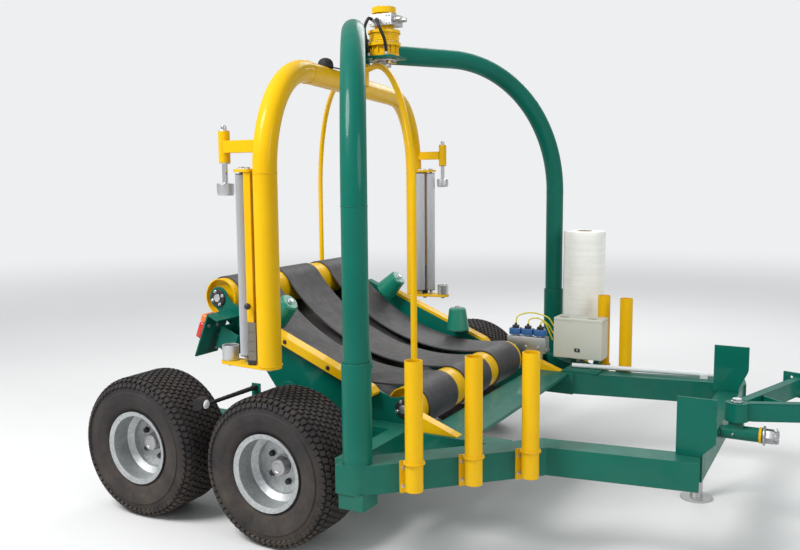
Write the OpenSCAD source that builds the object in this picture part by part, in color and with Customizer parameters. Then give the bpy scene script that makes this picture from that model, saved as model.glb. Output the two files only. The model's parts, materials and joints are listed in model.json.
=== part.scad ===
// Trailed bale wrapper with a rotating arm on tandem wheels.
// Frame of the model: +X forward to the hitch, +Y to the machine's left, +Z up, Z = 0 on the ground.
// Fore-and-aft places below are counted from the plane of the two arch legs.

/* [Wheels] */
// Tyre outside diameter
tyre_d = 660; // [560:5:700]
// Tyre section width
tyre_w = 305; // [240:5:320]
// Thickness of the tyre's carcass
tyre_wall = 16; // [10:1:20]
// Rim bead diameter
rim_d = 310; // [280:5:340]
// Rim sheet thickness
rim_t = 6; // [4:1:10]
// Depth of the wheel disc below the outer rim edge
dish_depth = 140; // [90:5:170]
// Centre plane of each wheel from the machine's centre
wheel_y = 975; // [950:5:1000]
// Rear axle, behind the arch
rear_axle_x = -1240; // [-1300:5:-1200]
// Front axle, behind the arch
front_axle_x = -490; // [-510:5:-470]
// Stub axle diameter
axle_d = 50; // [40:1:60]
// Wheel hub diameter
hub_d = 100; // [80:2:130]
// Bogie beam width
bogie_w = 70; // [50:5:70]
// Bogie beam height
bogie_h = 100; // [70:5:100]

/* [Frame] */
// Height of the frame's top face above the ground
frame_top = 476; // [460:2:490]
// Height of the frame beams
beam_h = 116; // [80:2:130]
// Width of the outer diagonal beams
outer_w = 120; // [90:5:130]
// Width of the inner rails
rail_w = 90; // [60:5:90]
// Centre line of the inner rails
rail_y = 675; // [670:1:680]
// Rear end of the inner rails
rail_rear_x = -930; // [-940:5:-920]
// Half the distance between the arch legs
arch_y = 1160; // [1140:5:1180]
// Bend of the side frame, fore and aft
bend_x = 560; // [520:5:600]
// Bend of the side frame, out from the centre
bend_y = 600; // [580:5:620]
// The left beam bends earlier and runs out to the front
left_bend_x = 425; // [400:5:450]
// Centre line of the left beam at its bend
left_bend_y = 735; // [710:5:750]
// Front corner, fore and aft
front_x = 1160; // [1100:5:1200]
// Front corner, out from the centre
front_y = 515; // [490:5:540]
// Centre line of the left beam at the crossbar
left_front_y = 864; // [840:2:880]
// Width of the front crossbar
crossbar_w = 100; // [80:5:120]
// Rear edge of the wide cross member
member_rear_x = 45; // [40:5:60]
// Width of the wide cross member
member_w = 220; // [150:5:240]
// Thickness of the wide cross member
member_t = 16; // [10:1:30]
// Centre of the axle beam, fore and aft
axle_beam_x = -865; // [-870:1:-860]
// Width of the axle beam
axle_beam_w = 110; // [80:5:120]

/* [Arch] */
// Arch tube diameter
arch_d = 101.6; // [88.9:0.1:108]
// Height where the arch leg starts to bend
arch_bend_z = 1465; // [1400:5:1480]
// Bend radius of the arch
arch_r = 750; // [650:10:800]
// Diameter of the leg sockets
socket_d = 116; // [114:1:130]
// Top of the leg sockets
socket_top = 870; // [800:5:900]

/* [Wrapping arm] */
// Arm axis, behind the arch
arm_x = -700; // [-710:1:-690]
// Turn of the parked arm from straight across
arm_rest = 12.4; // [0:0.1:20]
// Arm tube diameter
arm_d = 100; // [76:1:105]
// Radius of the arm legs about the arm axis
arm_reach = 1127; // [1110:1:1140]
// Bottom of the arm legs
arm_bottom = 800; // [795:1:830]
// Drop of the arm's centre line below the arch's
arm_drop = 175; // [165:5:230]
// Bend radius of the arm tube
arm_bend = 450; // [350:10:500]
// Shaft diameter at the arm's hub
shaft_d = 60; // [50:1:70]
// Diameter of the safety bows
bow_d = 28; // [20:1:34]
// Radius of the safety bows' legs about the arm axis
bow_reach = 976; // [970:1:985]
// Lead of the safety bows ahead of the arm
bow_lead = 33.2; // [30:0.1:36]
// Bottom of the safety bows
bow_bottom = 775; // [770:1:850]
// Drop of the safety bows' centre line below the arch's
bow_drop = 117; // [110:1:135]
// Bend radius of the safety bows
bow_bend = 620; // [500:10:700]

/* [Film stretchers] */
// Stretch roller diameter
stretch_d = 55; // [45:1:58]
// Stretch roller length
stretch_l = 756; // [700:2:770]
// Thickness of the stretcher's foot and cap plates
foot_t = 12; // [8:1:16]
// Diameter of the cups that hold a film core
cup_d = 72; // [60:1:76]
// Height of the film cups
cup_h = 66; // [50:2:80]
// Film roll length between the cups
film_l = 750; // [700:5:760]

/* [Table] */
// Tilt of the table in its loading pose
table_tilt = 22.5; // [15:0.5:25]
// Height of the table pivot
pivot_z = 558; // [550:1:570]
// Height of the roller centres over the pivot
roller_v = 216; // [210:1:230]
// Distance between the two roller centres
roller_gap = 1140; // [1100:5:1150]
// Roller diameter
roller_d = 190; // [160:2:194]
// Half length of the rollers
roller_half = 600; // [580:1:600]
// Side plate thickness
side_t = 10; // [6:1:12]
// Running gap between the rollers and the side plates
side_gap = 5; // [3:1:6]
// Belt thickness
belt_t = 8; // [5:1:10]
// Belt width
belt_w = 300; // [250:5:310]
// Distance between belt centres
belt_pitch = 410; // [400:5:420]
// Height of the slack belt's middle over the pivot
belt_low_v = 155; // [145:1:200]

/* [Hitch] */
// Height of the swivel pin
swivel_z = 450; // [440:1:455]
// Swivel pin diameter
swivel_d = 45; // [35:1:48]
// Swivel sleeve diameter
sleeve_d = 63; // [60:1:66]
// Swivel sleeve length
sleeve_l = 170; // [150:5:180]
// Yaw pin, ahead of the arch
yaw_x = 1225; // [1220:1:1235]
// Swing of the parked hitch frame to the left
hitch_swing = 47; // [0:1:60]
// Half angle between the hitch frame's two arms
hitch_half_angle = 24.5; // [18:0.5:30]
// Length of the hitch frame's arms
hitch_arm_l = 640; // [500:10:800]

/* [Film posts] */
// Film post diameter
post_d = 70; // [60:1:74]
// Film post wall
post_wall = 4; // [3:0.5:6]
// Film post length
post_l = 509; // [450:1:560]
// Bottom of the film posts
post_bottom = 375; // [370:1:390]
// Spare film roll diameter
roll_d = 245; // [150:5:250]

/* [Hidden] */
$fn = 48;
RIGHT = -1;
LEFT = 1;
GREEN = "#006b5a";
YELLOW = "#e8b815";
STEEL = "#c4c8cc";
BLACK = "#242428";

fit = 0.05;       // radial clearance of a pin that turns in its bore
seat = 0.3;       // gap where a moving piece lies on its seat
tyre_r = tyre_d / 2;
beam_z = frame_top - beam_h;
hitch_plate_w = 150;
hitch_plate_h = 120;
hitch_plate_t = 12;
hitch_beam_w = 40;
hitch_beam_h = 80;
rear_reach = rear_axle_x - tyre_r;
hitch_near_angle = hitch_swing - hitch_half_angle;
hitch_front_reach = yaw_x + (hitch_arm_l + hitch_plate_t) * cos(hitch_near_angle)
    + hitch_plate_w / 2 * abs(sin(hitch_near_angle));
centre_x = (rear_reach + hitch_front_reach) / 2;

// Shapes that several sub-parts share

function unit(v) = v / norm(v);
function left_of(v) = [-v.y, v.x];
function strip_normal(p, i) =
    let (a = i == 0 ? p[1] - p[0] : p[i] - p[i - 1],
         b = i == len(p) - 1 ? a : p[i + 1] - p[i])
    unit(left_of(unit(a)) + left_of(unit(b)));
function strip_side(p, w) = [for (i = [0 : len(p) - 1])
    let (a = i == 0 ? p[1] - p[0] : p[i] - p[i - 1], n = strip_normal(p, i))
    p[i] + n * w / (n * left_of(unit(a)))];
function reverse(p) = [for (i = [len(p) - 1 : -1 : 0]) p[i]];

// Outline of a bar of even width along a line of points, mitred at its corners
module strip(p, w) polygon(concat(strip_side(p, w / 2), reverse(strip_side(p, -w / 2))));

// The machine's places are counted from the arch, and the model's origin is under the middle of its length
module machine() translate([-centre_x, 0, 0]) children();

// A child and its mirror image on the other side of the machine
module both_sides() {
    children();
    mirror([0, 1, 0]) children();
}

module on_side(side) {
    if (side == LEFT) children();
    else mirror([0, 1, 0]) children();
}

// A plate that stands fore and aft, drawn in X and Z, from y to y + t
module fore_aft_plate(y, t) translate([0, y + t, 0]) rotate([90, 0, 0]) linear_extrude(t) children();

module ring(d, wall, h) difference() {
    cylinder(d = d, h = h);
    translate([0, 0, -1]) cylinder(d = d - 2 * wall, h = h + 2);
}

// Quarter bend of a round bar, from straight up at x = r to level at x = 0
module quarter_bend(d, r) rotate([90, 0, 0]) rotate_extrude(angle = 90) translate([r, 0]) circle(d = d);

// Frame

leg_p = [0, arch_y];
function bend_at(side) = side == LEFT ? [left_bend_x, left_bend_y] : [bend_x, bend_y];
function beam_line(side) = [leg_p, bend_at(side), [front_x, side == LEFT ? left_front_y : front_y]];
function inner_line(side) = strip_side(beam_line(side), -outer_w / 2);
leg_beam_x = -65;
leg_beam_w = 80;
leg_pad = 110;
leg_pad_bottom = 300;
pivot_lug_t = 30;
pivot_lug_y = rail_y - rail_w / 2 + 5;
pivot_lug_r = 50;
pivot_pin_d = 40;

module side_frame(side) color(GREEN) on_side(side) difference() {
    union() {
        translate([0, 0, beam_z]) linear_extrude(beam_h) {
            strip(beam_line(side), outer_w);
            strip([[rail_rear_x, rail_y], [bend_at(side).x - 130, rail_y]], rail_w);
            if (side == LEFT) strip([[left_bend_x - 245, rail_y], [left_bend_x, left_bend_y - 16]], rail_w);
            strip([[leg_beam_x, arch_y], [leg_beam_x, rail_y]], leg_beam_w);
            translate(leg_p) circle(d = outer_w);
            translate([leg_beam_x, arch_y - outer_w / 2]) square([-leg_beam_x, outer_w]);
        }
        translate([-leg_pad / 2, arch_y - leg_pad / 2, leg_pad_bottom])
            cube([leg_pad, leg_pad, beam_z - leg_pad_bottom]);
        fore_aft_plate(pivot_lug_y, pivot_lug_t) {
            translate([arm_x, pivot_z]) circle(r = pivot_lug_r);
            translate([arm_x - pivot_lug_r, frame_top - 1]) square([2 * pivot_lug_r, pivot_z - frame_top + 1]);
        }
    }
    translate([arm_x, pivot_lug_y - 1, pivot_z]) rotate([-90, 0, 0])
        cylinder(r = pivot_pin_d / 2 + fit, h = pivot_lug_t + 2);
}

rail_in = rail_y - rail_w / 2;
crossbar_rear_x = front_x - crossbar_w;
function crossbar_end(side, x) = let (a = inner_line(side)[1], b = inner_line(side)[2])
    [x, (side == LEFT ? 1 : -1) * (b.y + (b.x - x) * (a.y - b.y) / (b.x - a.x))];
crossbar_foot = inner_line(RIGHT)[2];
cyl_y = 205;
cyl_base = [-750, 270];
lug_t = 12;
lug_gap = 34;
base_lug_r = 28;
cyl_pin_d = 25;

module cross_members() color(GREEN) {
    translate([0, 0, beam_z]) linear_extrude(beam_h)
        polygon([crossbar_end(RIGHT, crossbar_rear_x), [crossbar_foot.x, -crossbar_foot.y], [front_x, -crossbar_foot.y],
            crossbar_end(LEFT, front_x), crossbar_end(LEFT, crossbar_rear_x)]);
    translate([member_rear_x, -rail_in, frame_top - member_t]) cube([member_w, 2 * rail_in, member_t]);
    difference() {
        union() {
            translate([axle_beam_x - axle_beam_w / 2, -rail_in, bogie_top])
                cube([axle_beam_w, 2 * rail_in, frame_top - bogie_top]);
            for (s = [-1, 1]) fore_aft_plate(cyl_y + s * (lug_gap + lug_t) / 2 - lug_t / 2, lug_t) hull() {
                translate(cyl_base) circle(r = base_lug_r);
                translate([axle_beam_x + 20, bogie_top + 1]) square([30, 60]);
            }
        }
        translate([cyl_base.x, cyl_y - lug_gap, cyl_base.y]) rotate([-90, 0, 0])
            cylinder(r = cyl_pin_d / 2 + fit, h = 2 * lug_gap);
    }
}

// Running gear

bogie_top = 380;
bogie_y = 573;
bogie_over = 60;
hub_in = 70;

module bogie_beams() color(GREEN) both_sides() {
    translate([rear_axle_x - bogie_over, bogie_y - bogie_w / 2, bogie_top - bogie_h])
        cube([front_axle_x - rear_axle_x + 2 * bogie_over, bogie_w, bogie_h]);
    for (x = [rear_axle_x, front_axle_x]) translate([x, bogie_y, tyre_r]) rotate([-90, 0, 0]) {
        cylinder(d = axle_d + 8, h = wheel_y - hub_in - 2 - bogie_y);
        cylinder(d = axle_d, h = wheel_y + 20 - bogie_y);
    }
}

shoulder_r = 55;
bulge_r = 30;
bead_h = 22;

// Section of a tyre with round shoulders and sidewalls that draw in to the beads
module tyre_outline(cut) {
    half = tyre_w / 2;
    crown = tyre_r - shoulder_r;
    low = rim_d / 2 + bead_h + bulge_r;
    translate([rim_d / 2 - 1, -half + bulge_r + cut]) square([low - rim_d / 2 + 1, tyre_w - 2 * bulge_r - 2 * cut]);
    translate([low, -half + cut]) square([crown - low, tyre_w - 2 * cut]);
    for (s = [-1, 1]) {
        translate([low, s * (half - bulge_r)]) circle(r = bulge_r - cut);
        translate([crown, s * (half - shoulder_r)]) circle(r = shoulder_r - cut);
    }
    translate([crown - 1, -half + shoulder_r]) square([shoulder_r + 1 - cut, tyre_w - 2 * shoulder_r]);
}

module tyre_section() intersection() {
    difference() {
        tyre_outline(0);
        tyre_outline(tyre_wall);
    }
    translate([rim_d / 2, -tyre_w]) square([tyre_r, 2 * tyre_w]);
}

module wheel_place(x, side) on_side(side) translate([x, wheel_y, tyre_r]) rotate([-90, 0, 0]) children();

module tyre(x, side) color(BLACK) wheel_place(x, side) rotate_extrude() tyre_section();

well_depth = 26;
rim_w = tyre_w - 2 * bulge_r + 2 * seat;
disc_z = rim_w / 2 - dish_depth + 12;
cap_d = 60;

// Half section through a rim: hub, disc deep in the barrel, drop well, bead seats and flanges
module rim_section() {
    sheet_r = rim_d / 2 - rim_t;
    well_r = rim_d / 2 - well_depth;
    lip_r = rim_d / 2 + 16;
    edge = rim_w / 2;
    barrel = [[sheet_r, edge + 6], [lip_r, edge + 14], [lip_r, edge + 8], [rim_d / 2 - seat, edge],
        [rim_d / 2 - seat, 48], [well_r, 28]];
    polygon(concat(
        [[0, disc_z + 52], [0, -hub_in], [hub_d / 2, -hub_in], [hub_d / 2, disc_z], [well_r - rim_t, disc_z],
            [well_r - rim_t, -25], [sheet_r, -45]],
        [for (p = barrel) [p.x, -p.y]],
        reverse(barrel),
        [[sheet_r, 45], [well_r - rim_t, 25], [well_r - rim_t, disc_z + rim_t], [cap_d / 2, disc_z + rim_t],
            [cap_d / 2, disc_z + 52]]));
}

// The hub with its cap turns on the stub axle
module rim(x, side) color(STEEL) wheel_place(x, side) difference() {
    rotate_extrude() rim_section();
    translate([0, 0, -hub_in - 1]) cylinder(r = axle_d / 2 + fit, h = hub_in + 22);
    for (i = [0 : 4]) rotate(i * 72) translate([hub_d / 2 + 24, 0, disc_z - 1]) cylinder(d = 14, h = rim_t + 2);
}

// Arch

arch_run = norm([arm_x, arch_y]);
arch_yaw = atan2(-arch_y, arm_x);
arch_z = arch_bend_z + arch_r;
arm_top = arch_z - arm_drop;
bow_top = arch_z - bow_drop;
head_d = 150;
head_bottom = arch_z - 62;
head_top = arch_z + 60;

// The tubes run diagonally back from their legs and meet over the arm's axis
module arch_tubes() color(GREEN) difference() {
    union() {
        both_sides() translate([0, arch_y, 0]) rotate(arch_yaw) {
            translate([0, 0, frame_top]) cylinder(d = arch_d, h = arch_bend_z - frame_top);
            translate([arch_r, 0, arch_bend_z]) mirror([1, 0, 0]) quarter_bend(arch_d, arch_r);
            translate([arch_r, 0, arch_z]) rotate([0, 90, 0]) cylinder(d = arch_d, h = arch_run - arch_r - 30);
        }
        translate([arm_x, 0, head_bottom]) cylinder(d = head_d, h = head_top - head_bottom);
        translate([arm_x, -85, gearbox_z - drive_plate_t]) cube([gearbox_off + 85, 170, drive_plate_t]);
    }
    translate([arm_x, 0, head_bottom - 1]) cylinder(r = shaft_d / 2 + fit, h = head_top - head_bottom + 2);
}

socket_wall = (socket_d - arch_d) / 2 - seat;

module leg_sockets() color(GREEN) both_sides() translate([0, arch_y, frame_top])
    ring(socket_d, socket_wall, socket_top - frame_top);

gearbox_off = 175;
drive_plate_t = 12;
gearbox_z = arch_z - 37;

// Planetary gearbox: foot flange, ribbed case, waist, flange and cap
module arm_gearbox() color(YELLOW) translate([arm_x + gearbox_off, 0, gearbox_z]) {
    cylinder(d = 150, h = 14);
    cylinder(d = 128, h = 52);
    translate([0, 0, 52]) cylinder(d = 166, h = 16);
    translate([0, 0, 68]) cylinder(d = 150, h = 46);
    translate([0, 0, 114]) cylinder(d = 166, h = 14);
    translate([0, 0, 128]) cylinder(d = 96, h = 86);
    translate([0, 0, 214]) cylinder(d = 124, h = 30);
}

module drive_valve() color(STEEL) translate([arm_x + gearbox_off, 0, gearbox_z + 150]) {
    difference() {
        translate([-55, -60, 0]) cube([130, 120, 56]);
        translate([0, 0, -1]) cylinder(d = 97, h = 58);
    }
}

// Hoses and cables: rings of 8 sides swept along hand-chosen points, with a wider ferrule at each end

function mid(p, i, u) = let (a = p[max(i - 1, 0)], b = p[i], c = p[i + 1], d = p[min(i + 2, len(p) - 1)])
    0.5 * (2 * b + (c - a) * u + (2 * a - 5 * b + 4 * c - d) * u * u + (3 * b - 3 * c + d - a) * u * u * u);
function eased(p, n) = concat([for (i = [0 : len(p) - 2], k = [0 : n - 1]) mid(p, i, k / n)], [p[len(p) - 1]]);
function heading(p, i) = unit(p[min(i + 1, len(p) - 1)] - p[max(i - 1, 0)]);

module hose(way, start, end, d, ferrule_d, ferrule_l) {
    first = way[0];
    last = way[len(way) - 1];
    run = eased(concat([first + ferrule_l * start], [for (i = [1 : len(way) - 2]) way[i]], [last - ferrule_l * end]), 3);
    p = concat([first, first + (ferrule_l - 1) * start], run, [last - (ferrule_l - 1) * end, last]);
    n = len(p);
    function size(i) = (i < 2 || i > n - 3 ? ferrule_d : d) / 2;
    function along(i) = i < 3 ? start : i > n - 4 ? end : heading(p, i);
    side = unit(cross(start, last - first) + [0.31, 0.17, 0.05]);
    function across(i) = unit(side - (side * along(i)) * along(i));
    polyhedron(
        [for (i = [0 : n - 1], k = [0 : 7]) let (u = across(i), v = cross(along(i), u))
            p[i] + size(i) * (cos(45 * k) * u + sin(45 * k) * v)],
        concat([[for (k = [0 : 7]) k]], [[for (k = [0 : 7]) 8 * n - 1 - k]],
            [for (i = [0 : n - 2], k = [0 : 7]) [8 * i + k, 8 * i + 8 + k, 8 * i + 8 + (k + 1) % 8, 8 * i + (k + 1) % 8]]));
}

// Two hoses from the drive valve down to bulkhead fittings on the gearbox plate
module drive_hoses() color(BLACK) translate([arm_x + gearbox_off, 0, gearbox_z]) {
    hose([[-30, -60, 180], [-34, -100, 180], [-50, -112, 134], [-52, -96, 84], [-52, -81, 46], [-51, -71, 0]],
        [0, -1, 0], [0, 0, -1], 16, 20, 18);
    hose([[6, -60, 172], [14, -102, 170], [40, -114, 126], [54, -98, 80], [53, -81, 46], [51, -71, 0]],
        [0, -1, 0], [0, 0, -1], 16, 20, 18);
}

// Film storage and small fittings of the frame

post_plate_t = 6;
post_plate_w = 40;
post_plate_h = 128;
post_plate_z = 358;
post_places = [198, 441, 682]; // along the diagonal beam from the arch leg
left_post_place = 120;         // of the last left post, along the front beam from its bend
post_out = outer_w / 2 + post_plate_t + post_d / 2 - 1 + seat;
post_collar_z = post_plate_z + post_plate_h - 1;
post_collar_h = 5;
// The foot of each post on a beam's centre line, and which stretch of the beam it is
function post_foot(side, i) = let (run = side == LEFT && i == 2 ? 1 : 0, line = beam_line(side))
    [line[run] + (run == 1 ? left_post_place : post_places[i]) * unit(line[run + 1] - line[run]), run];
function post_way(side, i) = let (run = post_foot(side, i)[1], line = beam_line(side)) unit(line[run + 1] - line[run]);
function post_at(side, i) = post_foot(side, i)[0] + post_out * left_of(post_way(side, i));

// Each post is a tube with a low collar for the roll's core, welded to a flat on the beam's outer face
module film_posts() color(YELLOW) for (side = [RIGHT, LEFT], i = [0 : 2]) on_side(side)
    translate(concat(post_at(side, i), 0)) {
        translate([0, 0, post_bottom]) ring(post_d, post_wall, post_l);
        translate([0, 0, post_collar_z]) ring(post_d + 14, 8, post_collar_h);
        rotate(atan2(post_way(side, i).y, post_way(side, i).x))
            translate([-post_plate_w - 8, -post_d / 2 + 1 - post_plate_t, post_plate_z])
                cube([post_plate_w + 16, post_plate_t, post_plate_h]);
    }

guide_right_y = front_y - 22;
guide_left_y = 610;
guide_left_x = 1035;

// Upright plates on the crossbar that centre the bale; the left one is cut away under its front end
module guide_plates() color(GREEN) {
    on_side(RIGHT) fore_aft_plate(guide_right_y, 8) translate([front_x - crossbar_w + 5, frame_top])
        polygon([[0, 0], [90, 0], [150, 60], [150, 235], [0, 235]]);
    fore_aft_plate(guide_left_y, 8) translate([guide_left_x, frame_top])
        polygon([[0, 0], [120, 0], [124, 24], [134, 48], [148, 76], [160, 100], [165, 118], [165, 235], [0, 235]]);
}

module wedge_guides() color(YELLOW) both_sides() fore_aft_plate(rail_y - 20, 50)
    polygon([[-15, frame_top], [215, frame_top], [-15, frame_top + 88]]);

box_x = 140;
box_y = 750;
box_size = [280, 130, 230];

shelf_t = 8;
shelf_in = 80;
box_lift = 60;

// The box stands on a shelf across the left pocket of the frame
module control_box() color("#b8b9ae") {
    translate([box_x, box_y, frame_top + box_lift]) cube(box_size);
    for (x = [shelf_in + 10, box_size.x - 60])
        translate([box_x + x, box_y + 50, frame_top + shelf_t]) cube([30, 72, box_lift + 1 - shelf_t]);
    translate([box_x + shelf_in, rail_y - 10, frame_top]) cube([box_size.x - shelf_in, 215, shelf_t]);
}

module valve_block() color(STEEL) translate([-125, rail_y + rail_w / 2 - 13, frame_top]) {
    translate([0, 0, 80]) cube([230, 70, 90]);
    for (x = [20, 170]) translate([x, 10, 0]) cube([40, 12, 81]);
    for (i = [0 : 2]) translate([40 + 75 * i, 35, 169]) cylinder(d = 46, h = 61);
}

pipe_d = 26;

pipe_from = [250, 758];
pipe_to = [1000, 858];

// The pipe lies on the box's shelf and in a saddle at its front end
module oil_pipe() color("#d8dadc") translate([pipe_from.x, pipe_from.y, frame_top + shelf_t + seat + pipe_d / 2])
    rotate(atan2(pipe_to.y - pipe_from.y, pipe_to.x - pipe_from.x)) {
        rotate([0, 90, 0]) cylinder(d = pipe_d, h = norm(pipe_to - pipe_from));
        translate([norm(pipe_to - pipe_from) - 70, -17, -shelf_t - seat - pipe_d / 2])
            cube([40, 34, shelf_t + seat + pipe_d / 2]);
    }

// Hoses from the back of the valve block down to the leg beam
module valve_hoses() color(BLACK) translate([-125, rail_y + rail_w / 2 - 13, frame_top]) {
    hose([[24, 70, 130], [28, 104, 132], [34, 130, 92], [38, 134, 50], [38, 134, 0]], [0, 1, 0], [0, 0, -1], 17, 24, 20);
    hose([[66, 70, 130], [72, 116, 134], [78, 146, 94], [80, 152, 50], [80, 152, 0]], [0, 1, 0], [0, 0, -1], 17, 24, 20);
}

// Cables from the coils to the end of the control box
module box_cables() color(YELLOW) translate([-125, rail_y + rail_w / 2 - 13, frame_top]) {
    hose([[40, 35, 230], [50, 48, 282], [120, 82, 300], [206, 106, 276], [238, 110, 236], [box_x + 125, 110, 218]],
        [0, 0, 1], [1, 0, 0], 8, 16, 12);
    hose([[115, 35, 230], [122, 44, 266], [164, 68, 272], [214, 86, 240], [240, 90, 200], [box_x + 125, 90, 184]],
        [0, 0, 1], [1, 0, 0], 8, 16, 12);
    hose([[190, 35, 230], [194, 40, 256], [212, 54, 248], [230, 66, 204], [246, 70, 166], [box_x + 125, 70, 150]],
        [0, 0, 1], [1, 0, 0], 8, 16, 12);
}

module marker_lamps() color(BLACK) both_sides() {
    translate([axle_beam_x - 25, rail_in, frame_top]) cube([50, 60, 8]);
    translate([axle_beam_x - 25, rail_in + 52, frame_top]) cube([50, 8, 110]);
    translate([axle_beam_x - 12, rail_in + 52, frame_top + 80]) cube([24, 330, 24]);
    translate([axle_beam_x - 30, rail_in + 382, frame_top + 92]) rotate([-90, 0, 0]) cylinder(d = 60, h = 55);
}

jack_p = [1015, 330];
jack_d = 70;
jack_leg_d = 57;
jack_foot_t = 10;

module jack_tube() color(STEEL) translate([jack_p.x, jack_p.y, beam_z - 20]) {
    ring(jack_d, (jack_d - jack_leg_d) / 2 - seat, beam_h);
    translate([jack_d / 2 - 4, -25, 20]) cube([front_x - crossbar_w - jack_p.x - jack_d / 2 + 4, 50, beam_h - 24]);
}

module jack_leg() color(STEEL) translate([jack_p.x, jack_p.y, 0]) {
    cylinder(d = 150, h = jack_foot_t);
    cylinder(d = jack_leg_d, h = beam_z + 60);
}

// Hitch

washer_d = 84;
washer_t = 8;
nut_d = 66;
nut_h = 54;
yaw_pin_d = 30;
hitch_z = 505;
hitch_boss_d = 100;
sleeve_x = front_x + 3;

module swivel_pin() color(STEEL) translate([front_x, 0, swivel_z]) rotate([0, 90, 0]) {
    cylinder(d = swivel_d, h = sleeve_l + 12);
    translate([0, 0, sleeve_l + 6]) cylinder(d = washer_d, h = washer_t);
    translate([0, 0, sleeve_l + 6 + washer_t]) cylinder(d = nut_d, h = nut_h, $fn = 6);
}

module swivel_sleeve() color(GREEN) {
    difference() {
        union() {
            translate([sleeve_x, 0, swivel_z]) rotate([0, 90, 0]) cylinder(d = sleeve_d, h = sleeve_l);
            translate([yaw_x - 30, -25, swivel_z]) cube([60, 50, hitch_z - 4 - swivel_z]);
            translate([yaw_x, 0, hitch_z - 10]) cylinder(d = yaw_pin_d, h = hitch_beam_h + 24);
        }
        translate([sleeve_x - 1, 0, swivel_z]) rotate([0, 90, 0]) cylinder(r = swivel_d / 2 + fit, h = sleeve_l + 2);
    }
}

// Two arms from the yaw pin, a web between them and a bolted plate at each end
module hitch_frame() color(GREEN) translate([yaw_x, 0, hitch_z]) rotate(hitch_swing) difference() {
    union() {
        linear_extrude(hitch_beam_h) {
            strip([for (s = [-1 : 1]) s * s * (hitch_arm_l + 1) * [cos(hitch_half_angle), s * sin(hitch_half_angle)]],
                hitch_beam_w);
            circle(d = hitch_boss_d);
        }
        for (s = [-1, 1]) rotate(s * hitch_half_angle)
            translate([hitch_arm_l, -hitch_plate_w / 2, (hitch_beam_h - hitch_plate_h) / 2])
                cube([hitch_plate_t, hitch_plate_w, hitch_plate_h]);
        web_x = 190;
        web_half = web_x * tan(hitch_half_angle);
        translate([web_x, -web_half, 4]) cube([10, 2 * web_half, hitch_beam_h - 8]);
    }
    translate([0, 0, -1]) cylinder(r = yaw_pin_d / 2 + fit, h = hitch_beam_h + 2);
    for (s = [-1, 1]) rotate(s * hitch_half_angle) translate([hitch_arm_l - 1, 0, hitch_beam_h / 2])
        rotate([0, 90, 0]) for (i = [0 : 3]) rotate(45 + i * 90) translate([50, 0, 0])
            cylinder(d = 17, h = hitch_plate_t + 2);
}

core_d = 77;

// A film roll stands over the first post of the left side
module spare_film_roll() color("#e4e2d8") translate([post_at(LEFT, 0).x, post_at(LEFT, 0).y, post_collar_z + post_collar_h + seat])
    ring(roll_d, (roll_d - core_d) / 2, film_l);

// Table, drawn level about its pivot and then tilted to its loading pose

roller_u = roller_gap / 2;
roller_r = roller_d / 2;
side_y = roller_half + side_gap;
end_r = 55;

module on_table() translate([arm_x, 0, pivot_z]) rotate([0, table_tilt, 0]) children();

module side_outline() {
    polygon([[-roller_u, roller_v + end_r], [-roller_u + 80, bar_v + 26],
        [roller_u - 80, bar_v + 26], [roller_u, roller_v + end_r],
        [roller_u + 30, roller_v - 45], [575, 30], [540, 0], [360, -20], [75, -60], [-50, -62], [-250, 54],
        [-roller_u, roller_v - end_r]]);
    for (s = [-1, 1]) {
        translate([s * roller_u, roller_v]) circle(r = end_r);
        translate([s * cone_u, cone_v]) rotate(s * cone_lean) translate([-cone_arm_w / 2, -60])
            square([cone_arm_w, 60 - seat]);
    }
}

module table_plates() color(GREEN) on_table() both_sides() {
    fore_aft_plate(side_y, side_t) side_outline();
    translate([0, side_y, 0]) rotate([-90, 0, 0])
        cylinder(d = pivot_pin_d, h = pivot_lug_y + pivot_lug_t + 12 - side_y);
    cone_arms();
}

cone_u = 260;
cone_y = 545;
cone_v = 246;
cone_lean = 24;
cone_h = 128;
cone_base_d = 130;
cone_tip_d = 98;
cone_pin_d = 20;
cone_plate_t = 8;
cone_arm_w = 70;

// Place of a cone: s is 1 at the table's front and -1 at its rear
module cone_place(s) translate([s * cone_u, cone_y, cone_v]) rotate([0, -s * cone_lean, 0]) children();

module cone_arms() for (s = [-1, 1]) cone_place(s) {
    translate([-cone_arm_w / 2, -40, -cone_plate_t - seat])
        cube([cone_arm_w, side_y + side_t - cone_y + 40, cone_plate_t]);
    translate([0, 0, -2]) cylinder(d = cone_pin_d, h = cone_h - 18);
}

module guide_cone(s, side) color(GREEN) on_table() on_side(side) cone_place(s) difference() {
    rotate_extrude() polygon([[0, 0], [cone_base_d / 2, 0], [cone_tip_d / 2, cone_h - 8],
        [cone_tip_d / 2 - 8, cone_h], [0, cone_h]]);
    translate([0, 0, -1]) cylinder(r = cone_pin_d / 2 + fit, h = cone_h - 16);
}

tube_u = 520;
tube_v = 45;
table_tube_d = 60;
cyl_u = 450;
cyl_v = 60;

module table_tubes() color(GREEN) on_table() {
    translate([0, -side_y, 0]) rotate([-90, 0, 0]) cylinder(d = 76, h = 2 * side_y);
    difference() {
        union() {
            translate([tube_u, -side_y, tube_v]) rotate([-90, 0, 0]) cylinder(d = table_tube_d, h = 2 * side_y);
            for (s = [-1, 1]) fore_aft_plate(cyl_y + s * (lug_gap + lug_t) / 2 - lug_t / 2, lug_t) hull() {
                translate([cyl_u, cyl_v]) circle(r = 26);
                translate([tube_u, tube_v]) circle(r = 26);
            }
        }
        translate([cyl_u, cyl_y - lug_gap, cyl_v]) rotate([-90, 0, 0]) cylinder(d = cyl_pin_d + 0.1, h = 2 * lug_gap);
    }
}

bar_v = 205;
bar_h = 42;
bar_w = 60;

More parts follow.
